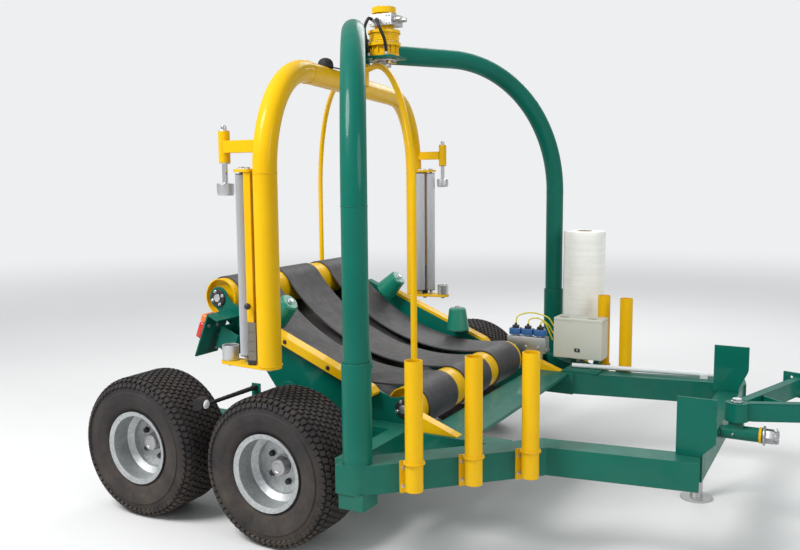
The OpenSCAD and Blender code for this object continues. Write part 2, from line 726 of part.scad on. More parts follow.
module wear_bars() color(YELLOW) on_table() both_sides() fore_aft_plate(side_y + side_t, bar_w)
    polygon([[-300, bar_v], [400, bar_v], [430, bar_v + 14], [430, bar_v + bar_h - 14], [400, bar_v + bar_h],
        [-300, bar_v + bar_h]]);

roller_wall = 6;
roller_shaft_d = 40;

module table_rollers() color(YELLOW) on_table() for (s = [-1, 1])
    translate([s * roller_u, -roller_half, roller_v]) rotate([-90, 0, 0]) {
        ring(roller_d, roller_wall, 2 * roller_half);
        for (z = [30, 2 * roller_half - 40]) translate([0, 0, z]) cylinder(d = roller_d - 2 * roller_wall + 1, h = 10);
        translate([0, 0, -side_gap]) cylinder(d = roller_shaft_d, h = 2 * side_y);
    }

// The slack top run hangs as an arc that leaves both rollers as a tangent, and the lower run is straight
wrap_r = roller_r + seat;
sag_r = (roller_u * roller_u + pow(roller_v - belt_low_v, 2) - wrap_r * wrap_r)
    / (2 * (wrap_r + roller_v - belt_low_v));
sag_v = belt_low_v + sag_r;
leave_a = asin(roller_u / (sag_r + wrap_r));

module wedge_of(r, a, b) polygon(concat([[0, 0]], [for (i = [0 : 6]) r * [cos(a + (b - a) * i / 6), sin(a + (b - a) * i / 6)]]));

module belt_outline() {
    translate([0, sag_v]) intersection() {
        difference() {
            circle(r = sag_r, $fn = 180);
            circle(r = sag_r - belt_t, $fn = 180);
        }
        wedge_of(2 * sag_r, -90 - leave_a, -90 + leave_a);
    }
    for (s = [-1, 1]) translate([s * roller_u, roller_v]) intersection() {
        difference() {
            circle(r = wrap_r + belt_t);
            circle(r = wrap_r);
        }
        scale([s, 1]) wedge_of(3 * roller_r, -90, 90 + leave_a);
    }
    translate([-roller_u, roller_v - wrap_r - belt_t]) square([2 * roller_u, belt_t]);
}

module table_belts() color(BLACK) on_table() for (i = [-1 : 1])
    fore_aft_plate(i * belt_pitch - belt_w / 2, belt_w) belt_outline();

lamp_u = -490;
lamp_low = -40;
lamp_top = 190;
lamp_y = side_y + side_t;

// A bent plate behind each side plate carries the lamps
module lamp_brackets() color(GREEN) on_table() both_sides() {
    translate([lamp_u, lamp_y, lamp_low]) cube([8, 160, lamp_top - lamp_low]);
    translate([lamp_u, lamp_y, lamp_top - 8]) cube([70, 160, 8]);
    translate([-440, lamp_y, 30]) difference() {
        cube([110, 90, 110]);
        translate([6, 6, 6]) cube([98, 78, 110]);
    }
}

module tail_lamps() color("#c01818") on_table() both_sides()
    translate([lamp_u - 46, lamp_y + 55, 40]) cube([46, 90, 130]);

// Tilt cylinder, opened at its rod's eye

cyl_pin_at = [arm_x + cyl_u * cos(table_tilt) + cyl_v * sin(table_tilt),
    pivot_z - cyl_u * sin(table_tilt) + cyl_v * cos(table_tilt)];
cyl_len = norm(cyl_pin_at - cyl_base);
cyl_angle = atan2(cyl_pin_at.y - cyl_base.y, cyl_pin_at.x - cyl_base.x);
barrel_d = 62;
rod_d = 30;
eye_w = lug_gap - 4;
barrel_l = cyl_len - 75;
barrel_from = base_lug_r + 26;

module on_cylinder() translate([cyl_base.x, cyl_y, cyl_base.y]) rotate([0, 90 - cyl_angle, 0]) children();

module tilt_barrel() color(BLACK) on_cylinder() difference() {
    union() {
        translate([0, 0, barrel_from]) cylinder(d = barrel_d, h = barrel_l - barrel_from);
        translate([-20, -eye_w / 2, 0]) cube([40, eye_w, barrel_from + 1]);
        translate([0, -lug_gap / 2 - lug_t - 4, 0]) rotate([-90, 0, 0]) cylinder(d = cyl_pin_d, h = lug_gap + 2 * lug_t + 8);
    }
    translate([0, 0, 40]) cylinder(r = rod_d / 2 + fit, h = barrel_l);
}

module tilt_rod() color(STEEL) on_cylinder() {
    translate([0, 0, 60]) cylinder(d = rod_d, h = cyl_len - 80);
    difference() {
        translate([0, eye_w / 2, cyl_len]) rotate([90, 0, 0]) cylinder(r = 24, h = eye_w);
        translate([0, eye_w, cyl_len]) rotate([90, 0, 0]) cylinder(d = cyl_pin_d + 0.1, h = 2 * eye_w);
    }
}

// Wrapping arm, drawn in its own frame: X out along the near leg, Y against the way it trails

module on_arm() translate([arm_x, 0, 0]) rotate(arm_rest - 90) children();

module both_ends() {
    children();
    rotate(180) children();
}

leg_top = arm_top - arm_bend;
holder_z = 1700;
roller_a = [arm_reach - 42, -124];
roller_b = [arm_reach - 67, -62];
cup_at = [arm_reach - 57, -208];
channel_w = 30;
channel_t = 26;
channel_at = [arm_reach - 7, -arm_d / 2 - 8 - channel_w];

module wrap_arm() color(YELLOW) on_arm() difference() {
    union() {
        both_ends() {
            translate([arm_reach, 0, arm_bottom]) cylinder(d = arm_d, h = leg_top - arm_bottom);
            translate([arm_reach - arm_bend, 0, leg_top]) quarter_bend(arm_d, arm_bend);
            translate([0, 0, arm_top]) rotate([0, 90, 0]) cylinder(d = arm_d, h = arm_reach - arm_bend);
            translate([cup_at.x, cup_at.y, holder_z - 25]) rotate(atan2(-cup_at.y, arm_reach - cup_at.x))
                translate([16, -25, 0]) cube([norm([cup_at.y, arm_reach - cup_at.x]) - 16, 50, 50]);
            translate([cup_at.x, cup_at.y, holder_z - 65]) ring(48, 11.7, 130);
        }
        translate([0, 0, arm_top]) cylinder(d = boss_d, h = head_bottom - seat - arm_top);
        translate([0, 0, arm_top]) cylinder(d = shaft_d, h = head_top + 20 - arm_top);
    }
}

boss_d = 140;
bow_root = boss_d / 2 + seat;

module safety_bows() color(YELLOW) on_arm() both_ends() rotate(bow_lead) {
    translate([bow_reach, 0, bow_bottom]) cylinder(d = bow_d, h = bow_top - bow_bend - bow_bottom);
    translate([bow_reach - bow_bend, 0, bow_top - bow_bend]) quarter_bend(bow_d, bow_bend);
    translate([bow_root, 0, bow_top]) rotate([0, 90, 0]) cylinder(d = bow_d, h = bow_reach - bow_bend - bow_root);
}

stretch_z = arm_bottom + 30;
cap_z = stretch_z + stretch_l + 10;
case_top = arm_bottom + 180;

module unit_plate(z) translate([0, 0, z]) linear_extrude(foot_t) hull() {
    translate(roller_a) circle(r = 34);
    translate(roller_b) circle(r = 24);
    translate(channel_at + [channel_t, channel_w] / 2) circle(r = 21);
}

module stretcher_frames() color(YELLOW) on_arm() both_ends() {
    translate([0, 0, arm_bottom - foot_t]) linear_extrude(foot_t) hull() {
        translate([arm_reach, 0]) circle(d = arm_d);
        translate(cup_at) circle(r = 40);
        translate(roller_b) circle(r = 30);
    }
    unit_plate(cap_z);
    translate([channel_at.x, channel_at.y, case_top]) cube([channel_t, channel_w, cap_z - case_top]);
}

module gear_cases() color("#6d6a60") on_arm() both_ends()
    translate([channel_at.x - 8, channel_at.y + 2, arm_bottom]) cube([channel_t + 10, channel_w + 6, case_top - arm_bottom]);

module lower_cups() color(STEEL) on_arm() both_ends() translate([cup_at.x, cup_at.y, arm_bottom])
    cylinder(d = cup_d, h = cup_h);

module upper_cups() color(STEEL) on_arm() both_ends() translate([cup_at.x, cup_at.y, 0]) {
    translate([0, 0, arm_bottom + film_l - 50]) cylinder(d = cup_d, h = 50);
    translate([0, 0, arm_bottom + film_l]) cylinder(d = 24, h = holder_z + 90 - arm_bottom - film_l);
}

module stretch_roller(end, place) color(STEEL) on_arm() rotate(end) translate([place.x, place.y, 0]) {
    translate([0, 0, stretch_z]) cylinder(d = stretch_d, h = stretch_l);
    translate([0, 0, arm_bottom + seat]) cylinder(d = 20, h = cap_z - arm_bottom - 2 * seat);
}

machine() {
    side_frame(LEFT);  // side_frame_left
    side_frame(RIGHT);  // side_frame_right
    cross_members();
    bogie_beams();
    arch_tubes();
    leg_sockets();
    arm_gearbox();
    drive_valve();
    drive_hoses();
    valve_hoses();
    box_cables();
    film_posts();
    guide_plates();
    wedge_guides();
    control_box();
    valve_block();
    oil_pipe();
    marker_lamps();
    jack_tube();
    jack_leg();
    swivel_pin();
    swivel_sleeve();
    hitch_frame();
    spare_film_roll();
    tilt_barrel();
    tilt_rod();
    table_plates();
    table_tubes();
    wear_bars();
    table_rollers();
    table_belts();
    lamp_brackets();
    tail_lamps();
    guide_cone(1, LEFT);  // cone_front_left
    guide_cone(1, RIGHT);  // cone_front_right
    guide_cone(-1, LEFT);  // cone_rear_left
    guide_cone(-1, RIGHT);  // cone_rear_right
    wrap_arm();
    safety_bows();
    stretcher_frames();
    gear_cases();
    lower_cups();
    upper_cups();
    stretch_roller(0, roller_a);  // stretch_roller_near_a
    stretch_roller(0, roller_b);  // stretch_roller_near_b
    stretch_roller(180, roller_a);  // stretch_roller_far_a
    stretch_roller(180, roller_b);  // stretch_roller_far_b
    tyre(front_axle_x, LEFT);  // tyre_front_left
    tyre(front_axle_x, RIGHT);  // tyre_front_right
    tyre(rear_axle_x, LEFT);  // tyre_rear_left
    tyre(rear_axle_x, RIGHT);  // tyre_rear_right
    rim(front_axle_x, LEFT);  // rim_front_left
    rim(front_axle_x, RIGHT);  // rim_front_right
    rim(rear_axle_x, LEFT);  // rim_rear_left
    rim(rear_axle_x, RIGHT);  // rim_rear_right
}
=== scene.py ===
# %% [markdown]
# A trailed bale wrapper: a V-shaped frame on four turf tyres, a tilting table with three belts, and a
# yellow arm that turns under a green tubular arch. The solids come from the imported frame, and every cell
# here either gives them a finish or adds the small parts that a fabricator would bolt on.

# %% Frame
import json
import math
import bmesh
import bpy
from mathutils import Matrix, Vector


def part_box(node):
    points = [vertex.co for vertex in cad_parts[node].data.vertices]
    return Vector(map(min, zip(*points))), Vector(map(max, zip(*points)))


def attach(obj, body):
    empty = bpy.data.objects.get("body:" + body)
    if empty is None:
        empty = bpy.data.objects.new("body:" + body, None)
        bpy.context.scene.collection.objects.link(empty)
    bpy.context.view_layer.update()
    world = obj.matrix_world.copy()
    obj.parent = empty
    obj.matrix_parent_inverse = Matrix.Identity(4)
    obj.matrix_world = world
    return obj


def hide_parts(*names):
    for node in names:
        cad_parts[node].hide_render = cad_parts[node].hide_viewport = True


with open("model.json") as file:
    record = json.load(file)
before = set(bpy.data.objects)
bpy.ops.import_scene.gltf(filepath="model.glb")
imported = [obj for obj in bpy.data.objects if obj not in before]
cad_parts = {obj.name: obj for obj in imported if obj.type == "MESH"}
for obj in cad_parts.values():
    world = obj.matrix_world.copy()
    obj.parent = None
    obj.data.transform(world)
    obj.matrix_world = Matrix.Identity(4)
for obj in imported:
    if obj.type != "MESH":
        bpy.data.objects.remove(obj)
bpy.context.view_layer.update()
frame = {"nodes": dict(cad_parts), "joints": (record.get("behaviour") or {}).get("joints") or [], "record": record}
nodes = frame["nodes"]
joints = {joint["name"]: joint for joint in frame["joints"]}

# %% [markdown]
# The photographer stood ahead and to the right of the machine, with the camera at eye height. The view is
# rebuilt from that place: a compass bearing, a slight downward pitch and a hair of roll.

# %% Camera
EYE = Vector((1.546, -3.8725, 1.5801))
BEARING = math.radians(28.86)
PITCH = math.radians(-6.718)
ROLL = math.radians(-0.479)
FOCAL_PIXELS = 851.7
PHOTO_WIDTH = 800
SENSOR = 36.0

scene = bpy.context.scene
lens = bpy.data.cameras.new("photo_camera")
lens.sensor_width = SENSOR
lens.lens = FOCAL_PIXELS / PHOTO_WIDTH * SENSOR
camera = bpy.data.objects.new("photo_camera", lens)
scene.collection.objects.link(camera)
ahead = Vector((-math.sin(BEARING) * math.cos(PITCH), math.cos(BEARING) * math.cos(PITCH), math.sin(PITCH)))
camera.rotation_mode = "QUATERNION"
camera.rotation_quaternion = ahead.to_track_quat("-Z", "Y") @ Matrix.Rotation(ROLL, 3, "Z").to_quaternion()
camera.location = EYE
scene.camera = camera
scene.view_settings.view_transform = "Standard"

# %% [markdown]
# Four small tools are used by every material: one places a shader node and sets its sockets, one joins
# sockets, one turns a colour as seen on a screen into linear values, and one starts a node group.

# %% Small tools
def put(tree, kind, values=None, **settings):
    """A shader node of one kind, with values for its sockets and settings of its own."""
    node = tree.nodes.new("ShaderNode" + kind)
    for key, value in settings.items():
        setattr(node, key, value)
    for key, value in (values or {}).items():
        node.inputs[key].default_value = value
    return node


def wire(tree, *rows):
    """Each row is a node and its output, then a node and its input, or else the two sockets themselves."""
    for row in rows:
        if len(row) == 4:
            row = row[0].outputs[row[1]], row[2].inputs[row[3]]
        tree.links.new(*row)


def colour(red, green, blue):
    """A colour given as it looks on a screen, 0 to 255, in the linear values that shaders use."""
    return tuple(((value / 255 + 0.055) / 1.055) ** 2.4 if value > 10 else value / 255 / 12.92
                 for value in (red, green, blue)) + (1.0,)


def group_tree(name, inputs, outputs):
    tree = bpy.data.node_groups.new(name, "ShaderNodeTree")
    for title, kind, value in inputs:
        tree.interface.new_socket(name=title, in_out="INPUT", socket_type=kind).default_value = value
    for title, kind in outputs:
        tree.interface.new_socket(name=title, in_out="OUTPUT", socket_type=kind)
    return tree, tree.nodes.new("NodeGroupInput"), tree.nodes.new("NodeGroupOutput")


FLOAT = "NodeSocketFloat"
VECTOR = "NodeSocketVector"

# %% [markdown]
# Paint and steel look real because of what happens at their edges. A Bevel node rounds every sharp edge
# for the light, and the angle between that rounded normal and the true one marks where paint wears.

# %% Edge group
edges, source, target = group_tree(
    "rounded_edges",
    [("Radius", FLOAT, 0.003), ("Break up", FLOAT, 60.0), ("Amount", FLOAT, 1.0)],
    [("Worn", FLOAT), ("Normal", VECTOR)])
rounded = put(edges, "Bevel", samples=6)
true_face = put(edges, "NewGeometry")
agreement = put(edges, "VectorMath", operation="DOT_PRODUCT")
place = put(edges, "TexCoord")
patches = put(edges, "TexNoise", {"Detail": 4.0, "Roughness": 0.65})
turned = put(edges, "MapRange", {"From Min": 0.995, "From Max": 0.75, "To Min": 0.0, "To Max": 1.0})
chance = put(edges, "MapRange", {"From Min": 0.46, "From Max": 0.62})
both = put(edges, "Math", operation="MULTIPLY")
scaled = put(edges, "Math", operation="MULTIPLY", use_clamp=True)
wire(edges, (source, "Radius", rounded, "Radius"),
     (rounded, "Normal", agreement, 0),
     (true_face, "Normal", agreement, 1),
     (agreement, "Value", turned, "Value"),
     (place, "Object", patches, "Vector"),
     (source, "Break up", patches, "Scale"),
     (patches, "Fac", chance, "Value"),
     (turned, "Result", both, 0),
     (chance, "Result", both, 1),
     (both, "Value", scaled, 0),
     (source, "Amount", scaled, 1),
     (scaled, "Value", target, "Worn"),
     (rounded, "Normal", target, "Normal"))

# %% [markdown]
# A field machine gathers dust from below. The second group fades road film upwards from the ground and
# lays a little fine dust on faces that look at the sky.

# %% Dust group
dust, source, target = group_tree(
    "field_dust",
    [("Low reach", FLOAT, 0.7), ("Low amount", FLOAT, 0.5), ("Sky amount", FLOAT, 0.2)],
    [("Dusty", FLOAT)])
place = put(dust, "TexCoord")
apart = put(dust, "SeparateXYZ")
face = put(dust, "NewGeometry")
face_parts = put(dust, "SeparateXYZ")
cloud = put(dust, "TexNoise", {"Scale": 7.0, "Detail": 6.0, "Roughness": 0.7})
low = put(dust, "MapRange", {"From Max": 0.0, "To Min": 0.0, "To Max": 1.0})
low_share = put(dust, "Math", operation="MULTIPLY")
sky = put(dust, "MapRange", {"From Min": 0.4, "From Max": 1.0})
sky_share = put(dust, "Math", operation="MULTIPLY")
total = put(dust, "Math", operation="ADD")
spotty = put(dust, "MapRange", {"From Min": 0.35, "From Max": 0.75})
shown = put(dust, "Math", operation="MULTIPLY", use_clamp=True)
wire(dust, (place, "Object", apart, 0),
     (apart, "Z", low, "Value"),
     (source, "Low reach", low, "From Min"),
     (low, "Result", low_share, 0),
     (source, "Low amount", low_share, 1),
     (face, "Normal", face_parts, 0),
     (face_parts, "Z", sky, "Value"),
     (sky, "Result", sky_share, 0),
     (source, "Sky amount", sky_share, 1),
     (low_share, "Value", total, 0),
     (sky_share, "Value", total, 1),
     (place, "Object", cloud, "Vector"),
     (cloud, "Fac", spotty, "Value"),
     (total, "Value", shown, 0),
     (spotty, "Result", shown, 1),
     (shown, "Value", target, "Dusty"))

# %% [markdown]
# Brushed, drawn and extruded metal all carry lines along one direction. The third group is a noise that is
# stretched along whichever axis its Stretch input makes small.

# %% Grain group
grain, source, target = group_tree(
    "drawn_grain",
    [("Stretch", VECTOR, (1.0, 1.0, 1.0)), ("Scale", FLOAT, 80.0)],
    [("Lines", FLOAT), ("Clouds", FLOAT)])
place = put(grain, "TexCoord")
stretched = put(grain, "VectorMath", operation="MULTIPLY")
lines = put(grain, "TexNoise", {"Detail": 3.0, "Roughness": 0.6})
clouds = put(grain, "TexNoise", {"Scale": 9.0, "Detail": 4.0})
wire(grain, (place, "Object", stretched, 0),
     (source, "Stretch", stretched, 1),
     (stretched, "Vector", lines, "Vector"),
     (source, "Scale", lines, "Scale"),
     (place, "Object", clouds, "Vector"),
     (lines, "Fac", target, "Lines"),
     (clouds, "Fac", target, "Clouds"))
print("node groups", [tree.name for tree in bpy.data.node_groups])

# %% [markdown]
# One function starts every material. It makes the Principled shader, feeds its normal from a bump over the
# rounded edges, and hands back the parts that a finish wants to vary.

# %% Material base
DUST_COLOUR = colour(150, 138, 118)


def group_node(tree, group, **values):
    node = put(tree, "Group", node_tree=group)
    for key, value in values.items():
        node.inputs[key.replace("_", " ")].default_value = value
    return node


class Finish:
    """A material in the making: its tree, its shader, and the last socket of its colour and roughness."""

    def __init__(self, name, base, rough, metal=0.0, edge=0.003, **shader):
        self.material = bpy.data.materials.new(name)
        self.material.use_nodes = True
        self.tree = self.material.node_tree
        self.shader = self.tree.nodes["Principled BSDF"]
        self.shader.inputs["Metallic"].default_value = metal
        for key, value in shader.items():
            self.shader.inputs[key.replace("_", " ")].default_value = value
        self.edge = group_node(self.tree, edges, Radius=edge)
        self.bump = put(self.tree, "Bump", {"Strength": 0.3, "Distance": 0.001})
        self.shader.inputs["Base Color"].default_value = base
        self.shader.inputs["Roughness"].default_value = rough
        self.colour = None
        self.rough = None
        self.place = put(self.tree, "TexCoord").outputs["Object"]
        wire(self.tree, (self.edge, "Normal", self.bump, "Normal"),
             (self.bump, "Normal", self.shader, "Normal"))

    def noise(self, scale, low=0.35, high=0.65, detail=5.0, where=None):
        cloud = put(self.tree, "TexNoise", {"Scale": scale, "Detail": detail, "Roughness": 0.6})
        spread = put(self.tree, "MapRange", {"From Min": low, "From Max": high})
        wire(self.tree, (where or self.place, cloud.inputs["Vector"]), (cloud, "Fac", spread, "Value"))
        return spread.outputs["Result"]

    def stretched(self, x, y, z):
        """Object coordinates squeezed along the axes with small factors, for grain that runs along them."""
        squeezed = put(self.tree, "VectorMath", operation="MULTIPLY")
        squeezed.inputs[1].default_value = (x, y, z)
        wire(self.tree, (self.place, squeezed.inputs[0]))
        return squeezed.outputs["Vector"]

    def tint(self, mask, other, amount=1.0):
        """Lays another colour over the last one where the mask is 1, at most by amount."""
        mix = put(self.tree, "Mix", data_type="RGBA")
        below, above = mix.inputs[6], mix.inputs[7]
        below.default_value = self.shader.inputs["Base Color"].default_value
        above.default_value = other
        if self.colour:
            wire(self.tree, (self.colour, below))
        wire(self.tree, (self.scaled(mask, amount), mix.inputs[0]))
        self.colour = mix.outputs[2]

    def scaled(self, mask, amount):
        share = put(self.tree, "Math", operation="MULTIPLY", use_clamp=True)
        share.inputs[1].default_value = amount
        wire(self.tree, (mask, share.inputs[0]))
        return share.outputs[0]

    def rougher(self, mask, amount):
        """Adds to the roughness where the mask is 1, or takes away if amount is negative."""
        added = put(self.tree, "Math", operation="MULTIPLY_ADD", use_clamp=True)
        added.inputs[1].default_value = amount
        added.inputs[2].default_value = self.shader.inputs["Roughness"].default_value
        wire(self.tree, (mask, added.inputs[0]))
        if self.rough:
            wire(self.tree, (self.rough, added.inputs[2]))
        self.rough = added.outputs[0]

    def relief(self, height, strength, distance):
        self.bump.inputs["Strength"].default_value = strength
        self.bump.inputs["Distance"].default_value = distance
        wire(self.tree, (height, self.bump.inputs["Height"]))

    def dusty(self, reach=0.7, low=0.5, sky=0.2, tone=DUST_COLOUR):
        film = group_node(self.tree, dust, Low_reach=reach, Low_amount=low, Sky_amount=sky)
        self.tint(film.outputs["Dusty"], tone)
        self.rougher(film.outputs["Dusty"], 0.5)

    def worn(self, tone, amount):
        self.edge.inputs["Amount"].default_value = amount
        self.tint(self.edge.outputs["Worn"], tone)

    def done(self):
        if self.colour:
            wire(self.tree, (self.colour, self.shader.inputs["Base Color"]))
        if self.rough:
            wire(self.tree, (self.rough, self.shader.inputs["Roughness"]))
        return self.material

# %% [markdown]
# The green and yellow are two-coat enamels, glossy and almost new. They share one recipe: a faint orange
# peel, a slow change of tone as between sprayed passes, a little chalk where dust settles, and bare primer
# on the sharpest corners.

# %% Enamels
PRIMER = colour(120, 112, 104)


def enamel(name, base, shade, light, wear=0.5):
    paint = Finish(name, base, 0.38, edge=0.004, Coat_Weight=0.2, Coat_Roughness=0.04, Specular_IOR_Level=0.1)
    paint.tint(paint.noise(1.7), shade, 0.45)
    paint.tint(paint.noise(5.5, 0.45, 0.8), light, 0.25)
    paint.rougher(paint.noise(14.0), 0.12)
    paint.dusty(0.6, 0.16, 0.05)
    paint.worn(PRIMER, wear)
    paint.relief(paint.noise(420.0, detail=2.0), 0.12, 0.0006)
    return paint.done()


green_enamel = enamel("green_enamel", colour(0, 98, 82), colour(0, 82, 70), colour(2, 116, 100))
yellow_enamel = enamel("yellow_enamel", colour(226, 178, 0), colour(214, 162, 0), colour(236, 194, 8),
                       wear=0.35)

# %% [markdown]
# Bare metals differ in how they were made. Plated steel has soft clouds, turned steel has fine lines, zinc
# has spangles, and an extruded roller has finer lines along its length. Each lays its own over a metal base.

# %% Metals
def metal(name, base, rough, stretch=(1.0, 1.0, 1.0), scale=80.0, lines=0.12, clouds=0.12, dirt=0.25):
    steel = Finish(name, base, rough, metal=1.0, edge=0.0015)
    marks = group_node(steel.tree, grain, Stretch=stretch, Scale=scale)
    steel.rougher(marks.outputs["Lines"], lines)
    steel.rougher(marks.outputs["Clouds"], clouds)
    steel.tint(marks.outputs["Clouds"], tuple(0.72 * part for part in base[:3]) + (1.0,), 0.55)
    steel.dusty(0.6, dirt, 0.05)
    steel.relief(marks.outputs["Lines"], 0.15, 0.0004)
    return steel.done()


plated_steel = metal("plated_steel", colour(206, 207, 208), 0.3)
turned_steel = metal("turned_steel", colour(188, 188, 190), 0.34, (1.0, 1.0, 0.05), 140.0)
drawn_alloy = metal("drawn_alloy", colour(214, 216, 220), 0.24, (1.0, 1.0, 0.02), 260.0, lines=0.2)
chrome = metal("hard_chrome", colour(226, 228, 232), 0.08, lines=0.05, clouds=0.04, dirt=0.1)
brass = metal("yellow_brass", colour(205, 170, 95), 0.3)


def zinc():
    """Hot-dip zinc: crystals of slightly different grey that catch the light one by one."""
    coat = Finish("hot_dip_zinc", colour(196, 199, 200), 0.42, metal=0.9, edge=0.002)
    spangles = put(coat.tree, "TexVoronoi", {"Scale": 95.0})
    wire(coat.tree, (coat.place, spangles.inputs["Vector"]))
    grey = put(coat.tree, "SeparateColor")
    wire(coat.tree, (spangles, "Color", grey, 0))
    coat.tint(grey.outputs[0], colour(160, 164, 167), 0.6)
    coat.rougher(grey.outputs[1], 0.16)
    coat.dusty(0.62, 0.3, 0.1)
    coat.relief(grey.outputs[2], 0.1, 0.0004)
    return coat.done()


galvanised = zinc()

# %% [markdown]
# Rubber is never pure black outdoors. The tyres are dusty near the ground, the belts are greyed by the bales
# that roll on them, and the hoses keep a slight shine.

# %% Rubbers and plastics
def rubber(name, base, grey, rough=0.75, low=0.55, sky=0.35):
    skin = Finish(name, base, rough, edge=0.002, Specular_IOR_Level=0.35)
    skin.tint(skin.noise(11.0), grey, 0.5)
    skin.rougher(skin.noise(35.0), 0.1)
    skin.dusty(0.66, low, sky, colour(112, 100, 86))
    skin.relief(skin.noise(260.0, detail=3.0), 0.25, 0.0008)
    return skin.done()


def moulded(name, base, rough, grain_scale=600.0, **shader):
    case = Finish(name, base, rough, edge=0.002, **shader)
    darker = tuple(0.82 * part for part in base[:3]) + (1.0,)
    case.tint(case.noise(6.0), darker, 0.35)
    case.rougher(case.noise(22.0), 0.1)
    case.dusty(0.9, 0.1, 0.1)
    case.relief(case.noise(grain_scale, detail=1.0), 0.12, 0.0004)
    return case.done()


tyre_rubber = rubber("tyre_rubber", colour(38, 36, 38), colour(58, 54, 54))
hose_rubber = rubber("hose_rubber", colour(24, 24, 26), colour(36, 36, 38), rough=0.45, low=0.2, sky=0.15)
lamp_rubber = rubber("lamp_rubber", colour(26, 25, 27), colour(40, 38, 40), rough=0.6, low=0.2)
cone_green = moulded("cone_green", colour(0, 122, 98), 0.3, Coat_Weight=0.3, Coat_Roughness=0.12)
case_beige = moulded("case_beige", colour(196, 197, 184), 0.5)
coil_blue = moulded("coil_blue", colour(44, 96, 152), 0.42)
black_plastic = moulded("black_plastic", colour(30, 30, 33), 0.42)
pipe_white = moulded("pipe_white", colour(218, 221, 222), 0.4)
cable_yellow = moulded("cable_yellow", colour(222, 205, 40), 0.45)
case_brown = moulded("case_brown", colour(112, 106, 94), 0.6, grain_scale=180.0)
core_card = moulded("core_card", colour(150, 118, 84), 0.85)
lamp_red = moulded("lamp_red", colour(208, 22, 16), 0.16, Coat_Weight=0.6, Coat_Roughness=0.05)
lamp_orange = moulded("lamp_orange", colour(240, 112, 16), 0.16, Coat_Weight=0.6, Coat_Roughness=0.05)
lamp_white = moulded("lamp_white", colour(226, 228, 232), 0.14, Coat_Weight=0.6, Coat_Roughness=0.05)


def belt_weave():
    """A rubber belt with a cloth face: a fine square weave, here darker and there greyer."""
    face = Finish("belt_weave", colour(62, 61, 65), 0.5, edge=0.0025, Specular_IOR_Level=0.45)
    waves = []
    for axis in ("X", "Y"):
        wave = put(face.tree, "TexWave", {"Scale": 115.0, "Distortion": 0.4}, bands_direction=axis)
        wire(face.tree, (face.place, wave.inputs["Vector"]))
        waves.append(wave.outputs["Fac"])
    cross = put(face.tree, "Math", operation="MULTIPLY")
    wire(face.tree, (waves[0], cross.inputs[0]), (waves[1], cross.inputs[1]))
    face.tint(face.noise(3.2), colour(48, 48, 51), 0.7)
    face.tint(face.noise(18.0, 0.5, 0.8), colour(84, 82, 85), 0.4)
    face.rougher(face.noise(26.0), 0.12)
    face.dusty(0.5, 0.1, 0.12)
    face.relief(cross.outputs[0], 0.15, 0.0006)
    return face.done()


belt_rubber = belt_weave()


def wound_film():
    """Stretch film wound under tension: milky, slightly uneven rings, and grey handling marks."""
    film = Finish("wound_film", colour(238, 238, 232), 0.32, edge=0.002, Coat_Weight=0.35, Coat_Roughness=0.2)
    rings = film.noise(60.0, where=film.stretched(0.05, 0.05, 1.0))
    film.tint(rings, colour(218, 219, 212), 0.5)
    film.tint(film.noise(5.0, 0.5, 0.75), colour(196, 196, 186), 0.4)
    film.rougher(film.noise(12.0), 0.25)
    film.relief(rings, 0.25, 0.0015)
    return film.done()


stretch_film = wound_film()
print("materials", len(bpy.data.materials))

# %% [markdown]
# Each solid of the frame now gets the finish of its own slot. Nothing is moved: only the material changes.

# %% Finishes of the solids
SLOT_FINISH = {
    "green_paint": green_enamel, "yellow_paint": yellow_enamel, "bare_steel": plated_steel,
    "rod_chrome": chrome, "galvanised": galvanised, "roller_alloy": drawn_alloy,
    "tyre_rubber": tyre_rubber, "belt_rubber": belt_rubber, "cone_plastic": cone_green,
    "box_plastic": case_beige, "case_metal": case_brown, "cylinder_paint": black_plastic,
    "pipe_white": pipe_white, "lamp_black": lamp_rubber, "lamp_red": lamp_red,
    "film_white": stretch_film, "hose_rubber": hose_rubber, "cable_yellow": cable_yellow}
slot_of = {part["node"]: part["material_slot"] for part in frame["record"]["subparts"]}
for name, solid in nodes.items():
    solid.data.materials.clear()
    solid.data.materials.append(SLOT_FINISH[slot_of[name]])
print("solids dressed", len(nodes))

# %% [markdown]
# Every added piece ends the same way: doubles are merged, normals recalculated, edges over an angle kept
# sharp, and the object rides on its body. Small helpers add the shapes that come again and again, such as a
# ring, a bolt and a bent bar, to a bmesh that is already open. Places are made of shifts and swings.

# %% Piece tools
DOUBLES = 1e-5
QUARTER = math.pi / 2


def shift(x, y, z):
    return Matrix.Translation((x, y, z))


def up(height):
    return shift(0, 0, height)


def swing(angle, axis="Z"):
    return Matrix.Rotation(angle, 4, axis)


def piece(bm, name, materials, body, sharp=38.0):
    """Turns a bmesh into an object that rides on a body of the machine and wears its materials."""
    bmesh.ops.remove_doubles(bm, verts=bm.verts, dist=DOUBLES)
    bmesh.ops.recalc_face_normals(bm, faces=bm.faces)
    mesh = bpy.data.meshes.new(name)
    bm.to_mesh(mesh)
    bm.free()
    mesh.shade_smooth()
    mesh.set_sharp_from_angle(angle=math.radians(sharp))
    for material in materials if isinstance(materials, (list, tuple)) else [materials]:
        mesh.materials.append(material)
    made = bpy.data.objects.new(name, mesh)
    scene.collection.objects.link(made)
    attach(made, body)
    return made


def facing(place, axis):
    """A matrix that carries +Z to the axis and the origin to the place."""
    return Matrix.Translation(place) @ Vector(axis).to_track_quat("Z", "Y").to_matrix().to_4x4()


def paint_faces(made, index):
    """Gives the faces of newly made vertices one of the piece's materials."""
    for face in {face for vert in made for face in vert.link_faces}:
        face.material_index = index


